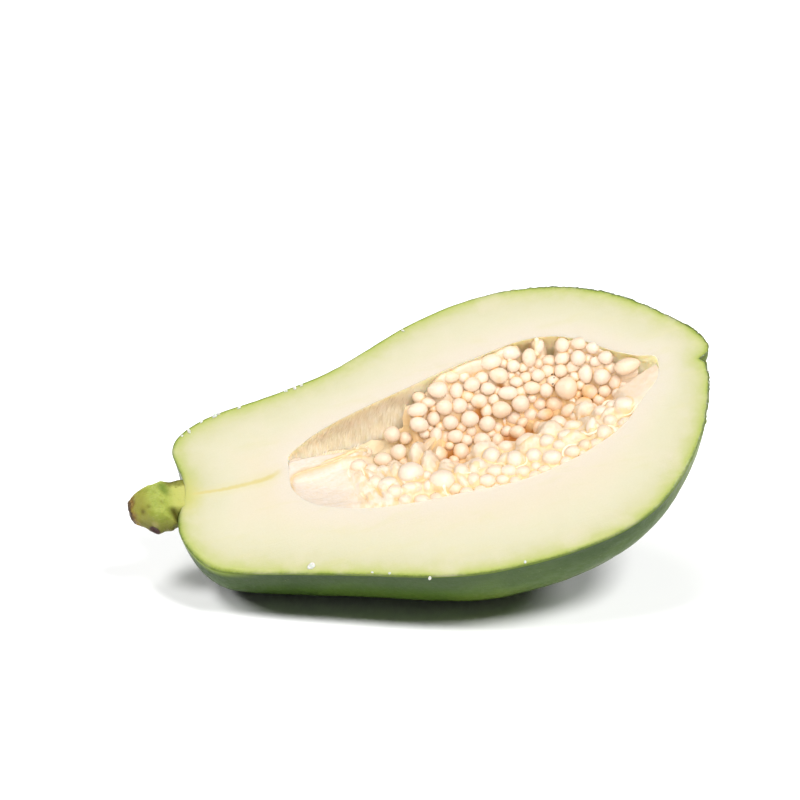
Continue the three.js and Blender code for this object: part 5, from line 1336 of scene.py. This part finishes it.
def mat_flesh():
    """Cut flesh: green rim fading to cream, whiter near the seeds, a yellow strand down the neck."""
    T = Tree("flesh")
    loc, ds, dc, rag = T.attr("loc", True), T.attr("dskin"), T.attr("dcav"), T.attr("ragged")
    xyz = T.node("ShaderNodeSeparateXYZ", Vector=loc)
    x, y = xyz.outputs[0], xyz.outputs[1]
    n1, n2 = T.noise(loc, 0.16, 3, 0.6), T.noise(loc, 0.9, 3, 0.6)
    w = T.range(ds, 0.2, 5.0, 0.0, 1.0)
    d = T.math("ADD", ds, T.math("MULTIPLY", T.math("SUBTRACT", n1, 0.5), T.math("MULTIPLY", w, 5.0)))
    d = T.math("ADD", d, T.math("MULTIPLY", T.math("SUBTRACT", n2, 0.5), T.range(ds, 0.0, 1.5, 0.5, 1.0)))
    # the neck and the blossom end stay greener further in
    neck = T.range(x, 55, 5, 0.0, 1.0)
    d = T.math("MULTIPLY", d, T.math("SUBTRACT", 1.0, T.math("MULTIPLY", neck, 0.16)))
    right = T.range(x, 110, 176, 0.0, 1.0)
    d = T.math("MULTIPLY", d, T.math("SUBTRACT", 1.0, T.math("MULTIPLY", right, 0.12)))
    col = T.ramp(T.math("DIVIDE", d, 28.0), [(p / 28.0, c) for p, c in FLESH])
    col = T.mix(T.range(dc, 0.0, 11.0, 0.75, 0.0), col, lin(253, 241, 224))
    # faint streaks and clouds of the flesh
    st = T.noise(T.stretch(loc, 0.05, 0.22, 0.2), 1.0, 4, 0.6, 0.5)
    col = T.mix(T.range(st, 0.52, 0.74, 0.0, 0.30), col, lin(240, 234, 178))
    cl = T.noise(loc, 0.07, 3, 0.55)
    col = T.mix(T.range(cl, 0.50, 0.75, 0.0, 0.35), col, lin(252, 240, 216))
    grain = T.noise(loc, 1.7, 3, 0.65)
    col = T.mix(T.range(grain, 0.35, 0.65, 0.10, 0.0), col, lin(226, 214, 160))
    # the strand from the stem to the cavity
    yc = T.ramp(T.math("DIVIDE", x, 45.0), [(p / 45.0, ((v + 5) / 10,) * 3 + (1.0,)) for p, v in
                ((2.7, 3.2), (4.6, 2.4), (9.0, 1.7), (14.0, 0.9), (19.1, 0.4), (24.3, 0.2), (28.5, 0.15), (32.0, 0.6), (35.9, 2.0), (38.7, 2.6))])
    yc = T.math("SUBTRACT", T.math("MULTIPLY", T.node("ShaderNodeSeparateColor", Color=yc).outputs[0], 10.0), 5.0)
    off = T.math("ABSOLUTE", T.math("ADD", T.math("SUBTRACT", y, yc), T.math("MULTIPLY", T.math("SUBTRACT", T.noise(loc, 0.5, 2), 0.5), 0.8)))
    wide = T.range(x, 3, 34, 0.75, 1.5, False)
    core = T.range(T.math("DIVIDE", off, wide), 0.15, 1.0, 1.0, 0.0)
    halo = T.range(T.math("DIVIDE", off, wide), 0.4, 3.4, 1.0, 0.0)
    along = T.math("MULTIPLY", T.range(x, 2.0, 6.0), T.range(x, 37.5, 31.0))
    col = T.mix(T.math("MULTIPLY", T.math("MULTIPLY", halo, along), 0.35), col, lin(246, 236, 178))
    col = T.mix(T.math("MULTIPLY", T.math("MULTIPLY", core, along), 0.72), col, lin(238, 220, 138))
    # greener where the stem enters
    r = T.node("ShaderNodeVectorMath", {"operation": "DISTANCE"})
    T.put(r.inputs[0], loc)
    r.inputs[1].default_value = (0.5, 2.5, 0.0)
    g = T.range(T.math("ADD", r.outputs["Value"], T.math("MULTIPLY", T.math("SUBTRACT", n2, 0.5), 3.0)), 2.0, 10.5, 0.80, 0.0)
    col = T.mix(g, col, lin(232, 225, 146))
    g2 = T.range(r.outputs["Value"], 1.0, 5.5, 0.95, 0.0)
    col = T.mix(g2, col, lin(212, 212, 112))
    # torn, darker edge of the peel round the blossom end
    dk = T.math("ADD", ds, T.math("MULTIPLY", T.math("SUBTRACT", T.noise(loc, 0.55, 4, 0.7), 0.5), 1.6))
    col = T.mix(T.math("MULTIPLY", T.range(dk, 0.55, 0.10, 0.0, 0.8), rag), col, lin(96, 112, 52))
    # white dashes of torn peel on the ragged side
    fl = T.noise(T.stretch(loc, 1.0, 1.0, 0.0), 0.85, 2, 0.6)
    fm = T.math("MULTIPLY", T.math("MULTIPLY", T.range(fl, 0.56, 0.66), T.range(ds, 0.55, 0.25)), rag)
    col = T.mix(T.math("MULTIPLY", fm, 0.75), col, lin(206, 214, 196))
    T.set(Base_Color=col, Roughness=T.range(T.noise(loc, 0.35, 3), 0.3, 0.7, 0.40, 0.56), Subsurface_Weight=0.22, Subsurface_Scale=0.0035,
          Subsurface_Radius=(1.0, 0.75, 0.42), Specular_IOR_Level=0.35)
    h = T.math("ADD", T.math("MULTIPLY", T.noise(loc, 1.3, 4, 0.65), 0.8),
               T.math("MULTIPLY", T.noise(T.stretch(loc, 0.03, 0.9, 0.5), 1.0, 2, 0.5), 0.8))
    T.set(Normal=T.bump(h, 0.30, 0.00025))
    return T.mat


def mat_lining():
    """Wall of the seed cavity: tan-grey, wet, with fine threads across it; painted light makes it paler just under the
    rim and from the middle of the fruit on to the blossom end.
    """
    T = Tree("lining")
    loc, al, deep = T.attr("loc", True), T.attr("around"), T.attr("deep")
    xyz = T.node("ShaderNodeSeparateXYZ", Vector=loc)
    slant = T.math("ADD", T.math("MULTIPLY", xyz.outputs[0], 0.95), T.math("MULTIPLY", deep, 0.45))
    cmb = T.node("ShaderNodeCombineXYZ", X=slant, Y=T.math("MULTIPLY", al, 2.5), Z=T.math("MULTIPLY", deep, 0.14))
    fib = T.noise(cmb.outputs[0], 1.0, 5, 0.7, 0.6)
    cloud = T.noise(loc, 0.20, 4, 0.6)
    col = T.mix(T.range(cloud, 0.35, 0.68), alb(247, 236, 208), alb(240, 226, 188))
    # a little darker further down the wall
    col = T.mix(T.range(deep, 1.0, 4.0, 0.0, 0.85), col, alb(236, 221, 192))
    col = T.mix(T.range(deep, 6.0, 12.0, 0.0, 0.7), col, alb(236, 220, 190))
    # painted light: paler from the middle of the fruit on to the blossom end, where the wall lies in shade
    col = T.mix(T.range(xyz.outputs[0], 76, 92, 0.0, 0.85), col, alb(255, 244, 212))
    soft = T.noise(loc, 0.5, 2)
    col = T.mix(T.math("MULTIPLY", T.range(fib, 0.50, 0.68, 0.0, 0.55), T.range(soft, 0.35, 0.6)), col, alb(252, 242, 218))
    col = T.mix(T.math("MULTIPLY", T.range(fib, 0.46, 0.34, 0.0, 0.30), T.range(soft, 0.65, 0.4)), col, alb(222, 204, 160))
    sp = T.noise(T.stretch(cmb.outputs[0], 1.6, 1.6, 2.0), 1.0, 3, 0.65, 0.4)
    col = T.mix(T.math("MULTIPLY", T.range(sp, 0.52, 0.66, 0.0, 0.55), T.range(xyz.outputs[0], 96, 78)), col, alb(252, 242, 222))
    col = T.mix(T.math("MULTIPLY", T.range(sp, 0.46, 0.34, 0.0, 0.45), T.range(xyz.outputs[0], 96, 78)), col, alb(208, 190, 150))
    hang = T.math("MULTIPLY", T.range(xyz.outputs[0], 116, 124), T.range(xyz.outputs[0], 150, 140, 0.0, 0.8))
    col = T.mix(hang, col, alb(246, 230, 178))
    tipg = T.range(xyz.outputs[0], 138, 158, 0.0, 0.92)
    col = T.mix(tipg, col, alb(246, 236, 190))
    # painted light: paler just under the rim
    col = T.mix(T.range(deep, 0.2, 1.3, 0.8, 0.0), col, alb(250, 238, 214))
    T.set(Base_Color=col, Roughness=0.42, Subsurface_Weight=0.75, Subsurface_Scale=0.006, Subsurface_Radius=(1.0, 0.8, 0.5), Specular_IOR_Level=0.35)
    rag = T.noise(T.stretch(cmb.outputs[0], 1.8, 1.8, 2.2), 1.0, 4, 0.72, 0.4)
    h = T.math("ADD", T.math("ADD", T.math("MULTIPLY", fib, 0.8), T.math("MULTIPLY", cloud, 0.6)), T.math("MULTIPLY", rag, 0.5))
    T.set(Normal=T.bump(h, 0.32, 0.0004))
    return T.mat


def mat_pulp():
    """Placenta: cream, with painted shade in orange-tan in its hollows, deep down, close to seeds and round the open
    gaps, which leaves its crests brighter.
    """
    T = Tree("pulp")
    loc, contact_shade, hollow, deep, warm_shade = T.attr("loc", True), T.attr("contact_shade"), T.attr("hollow"), T.attr("deep"), T.attr("warm_shade")
    xyz = T.node("ShaderNodeSeparateXYZ", Vector=loc)
    n1, n2 = T.noise(loc, 0.5, 4, 0.6), T.noise(T.stretch(loc, 0.5, 1.4, 1.0), 1.0, 4, 0.65)
    col = T.mix(T.range(n1, 0.35, 0.65), sd(249, 230, 208), sd(247, 225, 195))
    col = T.mix(T.range(n2, 0.54, 0.70, 0.0, 0.35), col, sd(246, 226, 184))
    # painted shade: orange-tan in the hollows of the pulp
    col = T.mix(T.range(hollow, 0.02, 0.6, 0.0, 0.55), col, sd(248, 211, 148))
    # painted shade: warmer and darker where the pulp touches a seed
    col = T.mix(T.range(contact_shade, 0.45, 1.0, 0.0, 0.50), col, sd(250, 212, 134))
    # painted shade: warmer and darker deep in the cavity
    col = T.mix(T.range(deep, 6.5, 13.0, 0.0, 0.75), col, sd(248, 206, 140))
    # painted warm shade round the open gaps
    col = T.mix(T.range(warm_shade, 0.08, 0.7, 0.0, 0.95), col, sd(222, 152, 74))
    # calm, pinkish shelf of the near lobe at the stem end, tan far lobe behind the septum
    sh = T.math("MULTIPLY", T.range(xyz.outputs[0], 82, 70), T.range(deep, 6.5, 4.5))
    shelf = T.mix(T.range(n1, 0.35, 0.65), sd(238, 226, 213), sd(237, 222, 204))
    shelf = T.mix(T.range(n2, 0.54, 0.70, 0.0, 0.6), shelf, sd(236, 215, 182))
    shelf = T.mix(T.range(T.noise(T.stretch(loc, 0.12, 0.9, 0.9), 1.0, 4, 0.6, 0.8), 0.52, 0.68, 0.0, 0.5), shelf, sd(234, 212, 174))
    # flesh-white septum between the lobes, with the yellow-brown rim of the near lobe: its own yellow tone with painted
    # shade where the dish drops away
    jum = T.range(T.math("ADD", xyz.outputs[0], T.math("MULTIPLY", T.noise(loc, 0.30, 3), 9.0)), 55.5, 67)
    blot = T.noise(T.stretch(loc, 0.55, 0.25, 0.4), 1.0, 3, 0.55, 0.6)
    rough = T.mix(T.range(blot, 0.36, 0.58), sd(242, 216, 174), sd(247, 229, 208))
    rough = T.mix(T.range(n2, 0.54, 0.70, 0.0, 0.25), rough, sd(242, 220, 176))
    # painted shade in the hollows of the torn lumps
    rough = T.mix(T.range(hollow, 0.02, 0.55, 0.0, 0.70), rough, sd(240, 202, 140))
    shelf = T.mix(jum, shelf, rough)
    # painted shade along the rim of the near lobe, mixed with its own yellow tone
    edge = T.attr("edge")
    shelf = T.mix(T.math("MULTIPLY", edge, 0.75), shelf, sd(228, 192, 132))
    col = T.mix(sh, col, shelf)
    far = T.math("MULTIPLY", T.range(xyz.outputs[0], 86, 76), T.range(deep, 4.5, 7.0))
    col = T.mix(T.math("MULTIPLY", far, 0.9), col, T.mix(T.range(xyz.outputs[0], 72, 77), sd(242, 224, 188), sd(250, 222, 170)))
    T.set(Base_Color=col, Roughness=0.38, Subsurface_Weight=0.08, Subsurface_Scale=0.0008, Subsurface_Radius=(1.0, 0.75, 0.55), Specular_IOR_Level=0.4)
    T.set(Normal=T.bump(T.math("ADD", n1, n2), 0.35, 0.0004))
    return T.mat


def mat_seed():
    """Unripe seeds: pearly cream, each its own tint, with painted shade: peach where they touch, orange round the open
    gaps and on sunk seeds.
    """
    T = Tree("seed")
    loc, contact_shade, rnd, warm_shade = T.attr("loc", True), T.attr("contact_shade"), T.attr("rnd"), T.attr("warm_shade")
    col = T.ramp(rnd, [(0.0, sd(250, 228, 205)), (0.3, sd(251, 231, 211)), (0.55, sd(250, 226, 200)), (0.8, sd(251, 230, 209)), (1.0, sd(249, 222, 192))])
    n = T.noise(loc, 0.55, 3, 0.6)
    col = T.mix(T.range(n, 0.5, 0.75, 0.0, 0.30), col, sd(250, 220, 184))
    # painted contact shade: peach where seeds touch one another
    col = T.mix(T.range(contact_shade, 0.35, 1.0, 0.0, 0.66), col, sd(252, 210, 128))
    # painted warm shade on seeds near the open gaps and on sunk seeds
    col = T.mix(T.range(warm_shade, 0.12, 0.8, 0.0, 0.80), col, sd(240, 184, 108))
    # painted contact shade: deeper orange in the tightest contacts
    col = T.mix(T.range(contact_shade, 0.78, 1.0, 0.0, 0.45), col, sd(242, 178, 90))
    T.set(Base_Color=col, Roughness=T.range(T.noise(loc, 0.9, 2), 0.3, 0.7, 0.26, 0.42), Subsurface_Weight=0.10, Subsurface_Scale=0.0008,
          Subsurface_Radius=(1.0, 0.75, 0.55), Coat_Weight=0.10, Coat_Roughness=0.25, Specular_IOR_Level=0.45)
    T.set(Normal=T.bump(T.noise(loc, 1.6, 3, 0.6), 0.12, 0.0003))
    return T.mat


def mat_thread():
    """Threads and torn skins: pale, wet, slightly yellow."""
    T = Tree("threads")
    loc, rnd = T.attr("loc", True), T.attr("rnd")
    col = T.ramp(rnd, [(0.0, alb(250, 236, 204)), (0.5, alb(253, 244, 226)), (1.0, alb(248, 230, 190))])
    col = T.mix(T.range(T.noise(loc, 0.8, 3), 0.4, 0.7, 0.0, 0.4), col, alb(246, 228, 182))
    T.set(Base_Color=col, Roughness=0.42, Specular_IOR_Level=0.35)
    T.set(Normal=T.bump(T.noise(loc, 2.2, 2), 0.2, 0.0002))
    return T.mat


def mat_septum():
    T = Tree("septum")
    loc = T.attr("loc", True)
    n = T.noise(T.stretch(loc, 0.4, 1.2, 1.2), 1.0, 4, 0.65)
    col = T.ramp(n, [(0.32, sd(232, 200, 140)), (0.5, sd(240, 214, 164)), (0.68, sd(244, 224, 190))])
    T.set(Base_Color=col, Roughness=0.42, Subsurface_Weight=0.15, Subsurface_Scale=0.0008, Subsurface_Radius=(1.0, 0.7, 0.4))
    T.set(Normal=T.bump(n, 0.3, 0.0003))
    return T.mat


def mat_latex():
    T = Tree("latex")
    loc = T.attr("loc", True)
    n = T.noise(loc, 1.5, 3, 0.6)
    col = T.mix(T.range(n, 0.35, 0.65), lin(252, 252, 246), lin(226, 232, 216))
    T.set(Base_Color=col, Roughness=0.25, Subsurface_Weight=0.15, Subsurface_Scale=0.001)
    T.set(Normal=T.bump(n, 0.3, 0.0003))
    return T.mat


def mat_speck():
    T = Tree("specks")
    loc = T.attr("loc", True)
    col = T.mix(T.range(T.noise(loc, 3.0, 2), 0.3, 0.7), lin(74, 52, 34), lin(128, 112, 78))
    T.set(Base_Color=col, Roughness=0.6)
    return T.mat


def mat_stem():
    """Knobbly green stub, limy on the slice, with painted shade in olive on its underside and where it meets the fruit,
    dry brown at the broken end.
    """
    T = Tree("stem_bark")
    loc = T.attr("loc", True)
    dry, scar, bud, pit, under, jun, rust = (T.attr(k) for k in ("dry", "scar", "bud", "pit", "under", "jun", "rust"))
    xyz = T.node("ShaderNodeSeparateXYZ", Vector=loc)
    x, y, z = xyz.outputs
    n1, n2, n3 = T.noise(loc, 0.22, 3, 0.6), T.noise(loc, 0.8, 4, 0.65), T.noise(T.stretch(loc, 0.3, 1.4, 1.4), 1.0, 4, 0.65)
    col = T.mix(T.range(n1, 0.35, 0.68), lin(186, 198, 86), lin(162, 176, 62))
    col = T.mix(T.range(n3, 0.52, 0.70, 0.0, 0.5), col, lin(200, 206, 112))
    col = T.mix(T.range(x, -7.5, -12.5, 0.0, 0.85), col, lin(168, 164, 62))
    # painted shade: darker olive on the underside
    col = T.mix(T.math("MULTIPLY", under, 0.85), col, lin(122, 116, 34))
    # fresh green patch by the far shoulder, pale lime where the slice meets the fruit
    r = T.node("ShaderNodeVectorMath", {"operation": "DISTANCE"})
    T.put(r.inputs[0], loc)
    r.inputs[1].default_value = (-3.5, 5.2, 3.0)
    col = T.mix(T.range(r.outputs["Value"], 4.0, 1.0, 0.0, 0.8), col, lin(104, 136, 18))
    col = T.mix(T.range(x, -4.5, -0.5, 0.0, 0.9), col, lin(210, 212, 106))
    col = T.mix(T.range(x, -0.5, 2.2, 0.0, 0.9), col, lin(216, 214, 118))
    far = T.math("ADD", y, T.math("MULTIPLY", T.math("SUBTRACT", n2, 0.5), 3.0))
    col = T.mix(T.math("MULTIPLY", T.range(far, 5.6, 7.6), T.range(x, -4.0, -2.0)), col, lin(140, 140, 44))
    col = T.mix(T.range(n2, 0.60, 0.72, 0.0, 0.35), col, lin(120, 112, 48))
    # dry end: dark rim, orange-tan core
    dcol = T.ramp(T.noise(T.stretch(loc, 0.5, 1.0, 1.0), 0.9, 4, 0.7), [(0.34, (112, 78, 28)), (0.5, (160, 124, 40)), (0.64, (182, 152, 60))])
    col = T.mix(dry, col, dcol)
    ring = T.range(T.math("ADD", x, T.math("MULTIPLY", T.math("SUBTRACT", n2, 0.5), 2.6)), -15.6, -16.5, 0.0, 0.95)
    col = T.mix(ring, col, T.mix(T.range(n2, 0.45, 0.6), lin(74, 48, 30), lin(104, 84, 56)))
    col = T.mix(T.math("MULTIPLY", pit, 0.9, clamp=True), col, lin(110, 96, 24))
    # painted shade: dark olive in the crevices where the stem meets the fruit
    col = T.mix(T.math("MULTIPLY", jun, 0.95, clamp=True), col, lin(88, 84, 12))
    col = T.mix(T.range(rust, 0.25, 0.8, 0.0, 0.75), col, lin(98, 78, 40))
    col = T.mix(T.range(scar, 0.15, 0.6), col, T.ramp(n2, [(0.35, (34, 10, 4)), (0.6, (72, 26, 10))]))
    col = T.mix(T.math("MULTIPLY", bud, 0.8, clamp=True), col, lin(196, 184, 120))
    T.set(Base_Color=col, Roughness=T.range(n2, 0.3, 0.7, 0.42, 0.62), Specular_IOR_Level=0.25, Subsurface_Weight=0.06, Subsurface_Scale=0.002)
    h = T.math("ADD", T.math("MULTIPLY", n2, 0.8), T.math("MULTIPLY", n3, 0.7))
    T.set(Normal=T.bump(h, 0.6, 0.0006))
    return T.mat


def mat_floor():
    T = Tree("floor")
    co = T.node("ShaderNodeTexCoord").outputs["Object"]
    n = T.noise(co, 3.0, 2, 0.5)
    col = T.mix(T.range(n, 0.3, 0.7), (0.955, 0.955, 0.96, 1), (0.97, 0.97, 0.97, 1))
    T.set(Base_Color=col, Roughness=0.9, Specular_IOR_Level=0.1)
    return T.mat


def mat_backdrop():
    """Evenly lit white paper, a trace uneven."""
    T = Tree("backdrop")
    co = T.node("ShaderNodeTexCoord").outputs["Object"]
    glow = T.mix(T.range(T.noise(co, 0.7, 2, 0.5), 0.3, 0.7), (0.97, 0.97, 0.975, 1), (1.0, 1.0, 1.0, 1))
    T.set(Base_Color=(0.0, 0.0, 0.0, 1.0), Emission_Color=glow, Emission_Strength=1.02, Roughness=1.0, Specular_IOR_Level=0.0)
    return T.mat




# ------------------------------------------------------------------ the object
MAT_THREAD = mat_thread()
fruit, outline, rim = build_fruit([mat_skin(), mat_flesh(), mat_lining()])
stem = build_stem(mat_stem())
seeds, SC, SR, field = build_clusters(mat_pulp(), mat_seed())
build_septum(mat_septum(), field)
build_fibres(MAT_THREAD, seeds, field)
build_loops(MAT_THREAD, seeds, field)
build_latex(mat_latex())
build_specks(mat_speck(), seeds, field)

# ------------------------------------------------------------------ floor, light, camera
me = bpy.data.meshes.new("floor")
me.from_pydata([(-4, -4, -0.00005), (4, -4, -0.00005), (4, 4, -0.00005), (-4, 4, -0.00005)], [], [(0, 1, 2, 3)])
me.materials.append(mat_floor())
floor = bpy.data.objects.new("floor", me)
bpy.context.scene.collection.objects.link(floor)

world = bpy.data.worlds.new("studio")
world.use_nodes = True
world.node_tree.nodes["Background"].inputs["Color"].default_value = (1, 1, 1, 1)
world.node_tree.nodes["Background"].inputs["Strength"].default_value = 0.06
bpy.context.scene.world = world
bpy.context.scene.view_settings.view_transform = "Standard"


def lamp(name, toward, strength, angle, colour, only):
    """A broad soft lamp far off, shining from the given direction on one set of pieces."""
    d = bpy.data.lights.new(name, "SUN")
    d.energy, d.angle, d.color = strength, math.radians(angle), colour
    o = bpy.data.objects.new(name, d)
    o.rotation_euler = Vector(toward).to_track_quat("Z", "Y").to_euler()
    bpy.context.scene.collection.objects.link(o)
    o.light_linking.receiver_collection = only


# The floor takes the lamps as they are. The fruit is lit a little less by them and a little more from the front,
# and the seeds and pulp much more so, because light soaks through real seeds and flesh.
sets = {k: bpy.data.collections.new(k) for k in ("inside", "outside", "ground")}
for o in list(bpy.context.scene.objects):
    if o.type == "MESH":
        k = "ground" if o is floor else "inside" if o.name.startswith(("seeds_", "cavity_", "septum", "seed_", "specks")) else "outside"
        sets[k].objects.link(o)
for name, toward, strength, angle in (("key", (0.45, -0.38, 1.0), 3.3, 26), ("right", (1.20, -0.15, 1.0), 0.7, 28),
                                      ("top", (-0.50, -0.12, 1.0), 0.8, 28), ("left", (-1.30, 0.30, 1.0), 1.8, 26)):
    lamp(name + "_fruit", toward, strength * (0.90 if name == "key" else 0.78), angle, (1, 1, 1), sets["outside"])
    lamp(name + "_seeds", toward, strength * 0.325, angle, (1, 1, 1), sets["inside"])
lamp("front_fruit", (-0.10, -1.0, 0.80), 0.45, 50, (1.0, 0.98, 0.94), sets["outside"])
lamp("back_fruit", (0.35, 1.0, 0.70), 1.7, 40, (1.0, 1.0, 1.0), sets["outside"])
lamp("front_seeds", (-0.10, -1.0, 0.80), 2.78, 50, (1.0, 0.97, 0.94), sets["inside"])
for k, (dx, dy, strength) in enumerate(((0.50, -0.36, 2.5), (1.30, -0.10, 1.25), (-0.50, -0.05, 1.75), (-1.30, 0.30, 1.4), (0.0, 0.30, 0.6))):
    lamp("floor_%d" % k, (dx, dy, 1.0), strength, 18, (1, 1, 1), sets["ground"])

# a white wall far round the floor, which shows behind the fruit in low views and lights nothing
ring = [(3.95 * math.cos(a), 3.95 * math.sin(a)) for a in np.linspace(0, 2 * math.pi, 97)[:-1]]
me = bpy.data.meshes.new("backdrop")
me.from_pydata([(x, y, z) for z in (-0.01, 2.6) for x, y in ring], [], [(i, (i + 1) % 96, 96 + (i + 1) % 96, 96 + i) for i in range(96)])
me.materials.append(mat_backdrop())
wall = bpy.data.objects.new("backdrop", me)
bpy.context.scene.collection.objects.link(wall)
for kind in ("diffuse", "glossy", "transmission", "volume_scatter", "shadow"):
    setattr(wall, "visible_" + kind, False)

AIM = place([80.586, 16.423, 0.0])
AZ, EL, DIST = math.radians(8.8), math.radians(26.0), 0.8
back = np.array([-math.cos(EL) * math.sin(AZ), -math.cos(EL) * math.cos(AZ), math.sin(EL)])
cam_data = bpy.data.cameras.new("camera")
cam_data.sensor_width, cam_data.lens = 36.0, 105.88
cam_data.clip_start, cam_data.clip_end = 0.01, 20.0
cam = bpy.data.objects.new("camera", cam_data)
cam.location = AIM + back * DIST
cam.rotation_mode = "QUATERNION"
cam.rotation_quaternion = Vector(-back).to_track_quat("-Z", "Y")
bpy.context.scene.collection.objects.link(cam)
bpy.context.scene.camera = cam

bpy.context.view_layer.update()
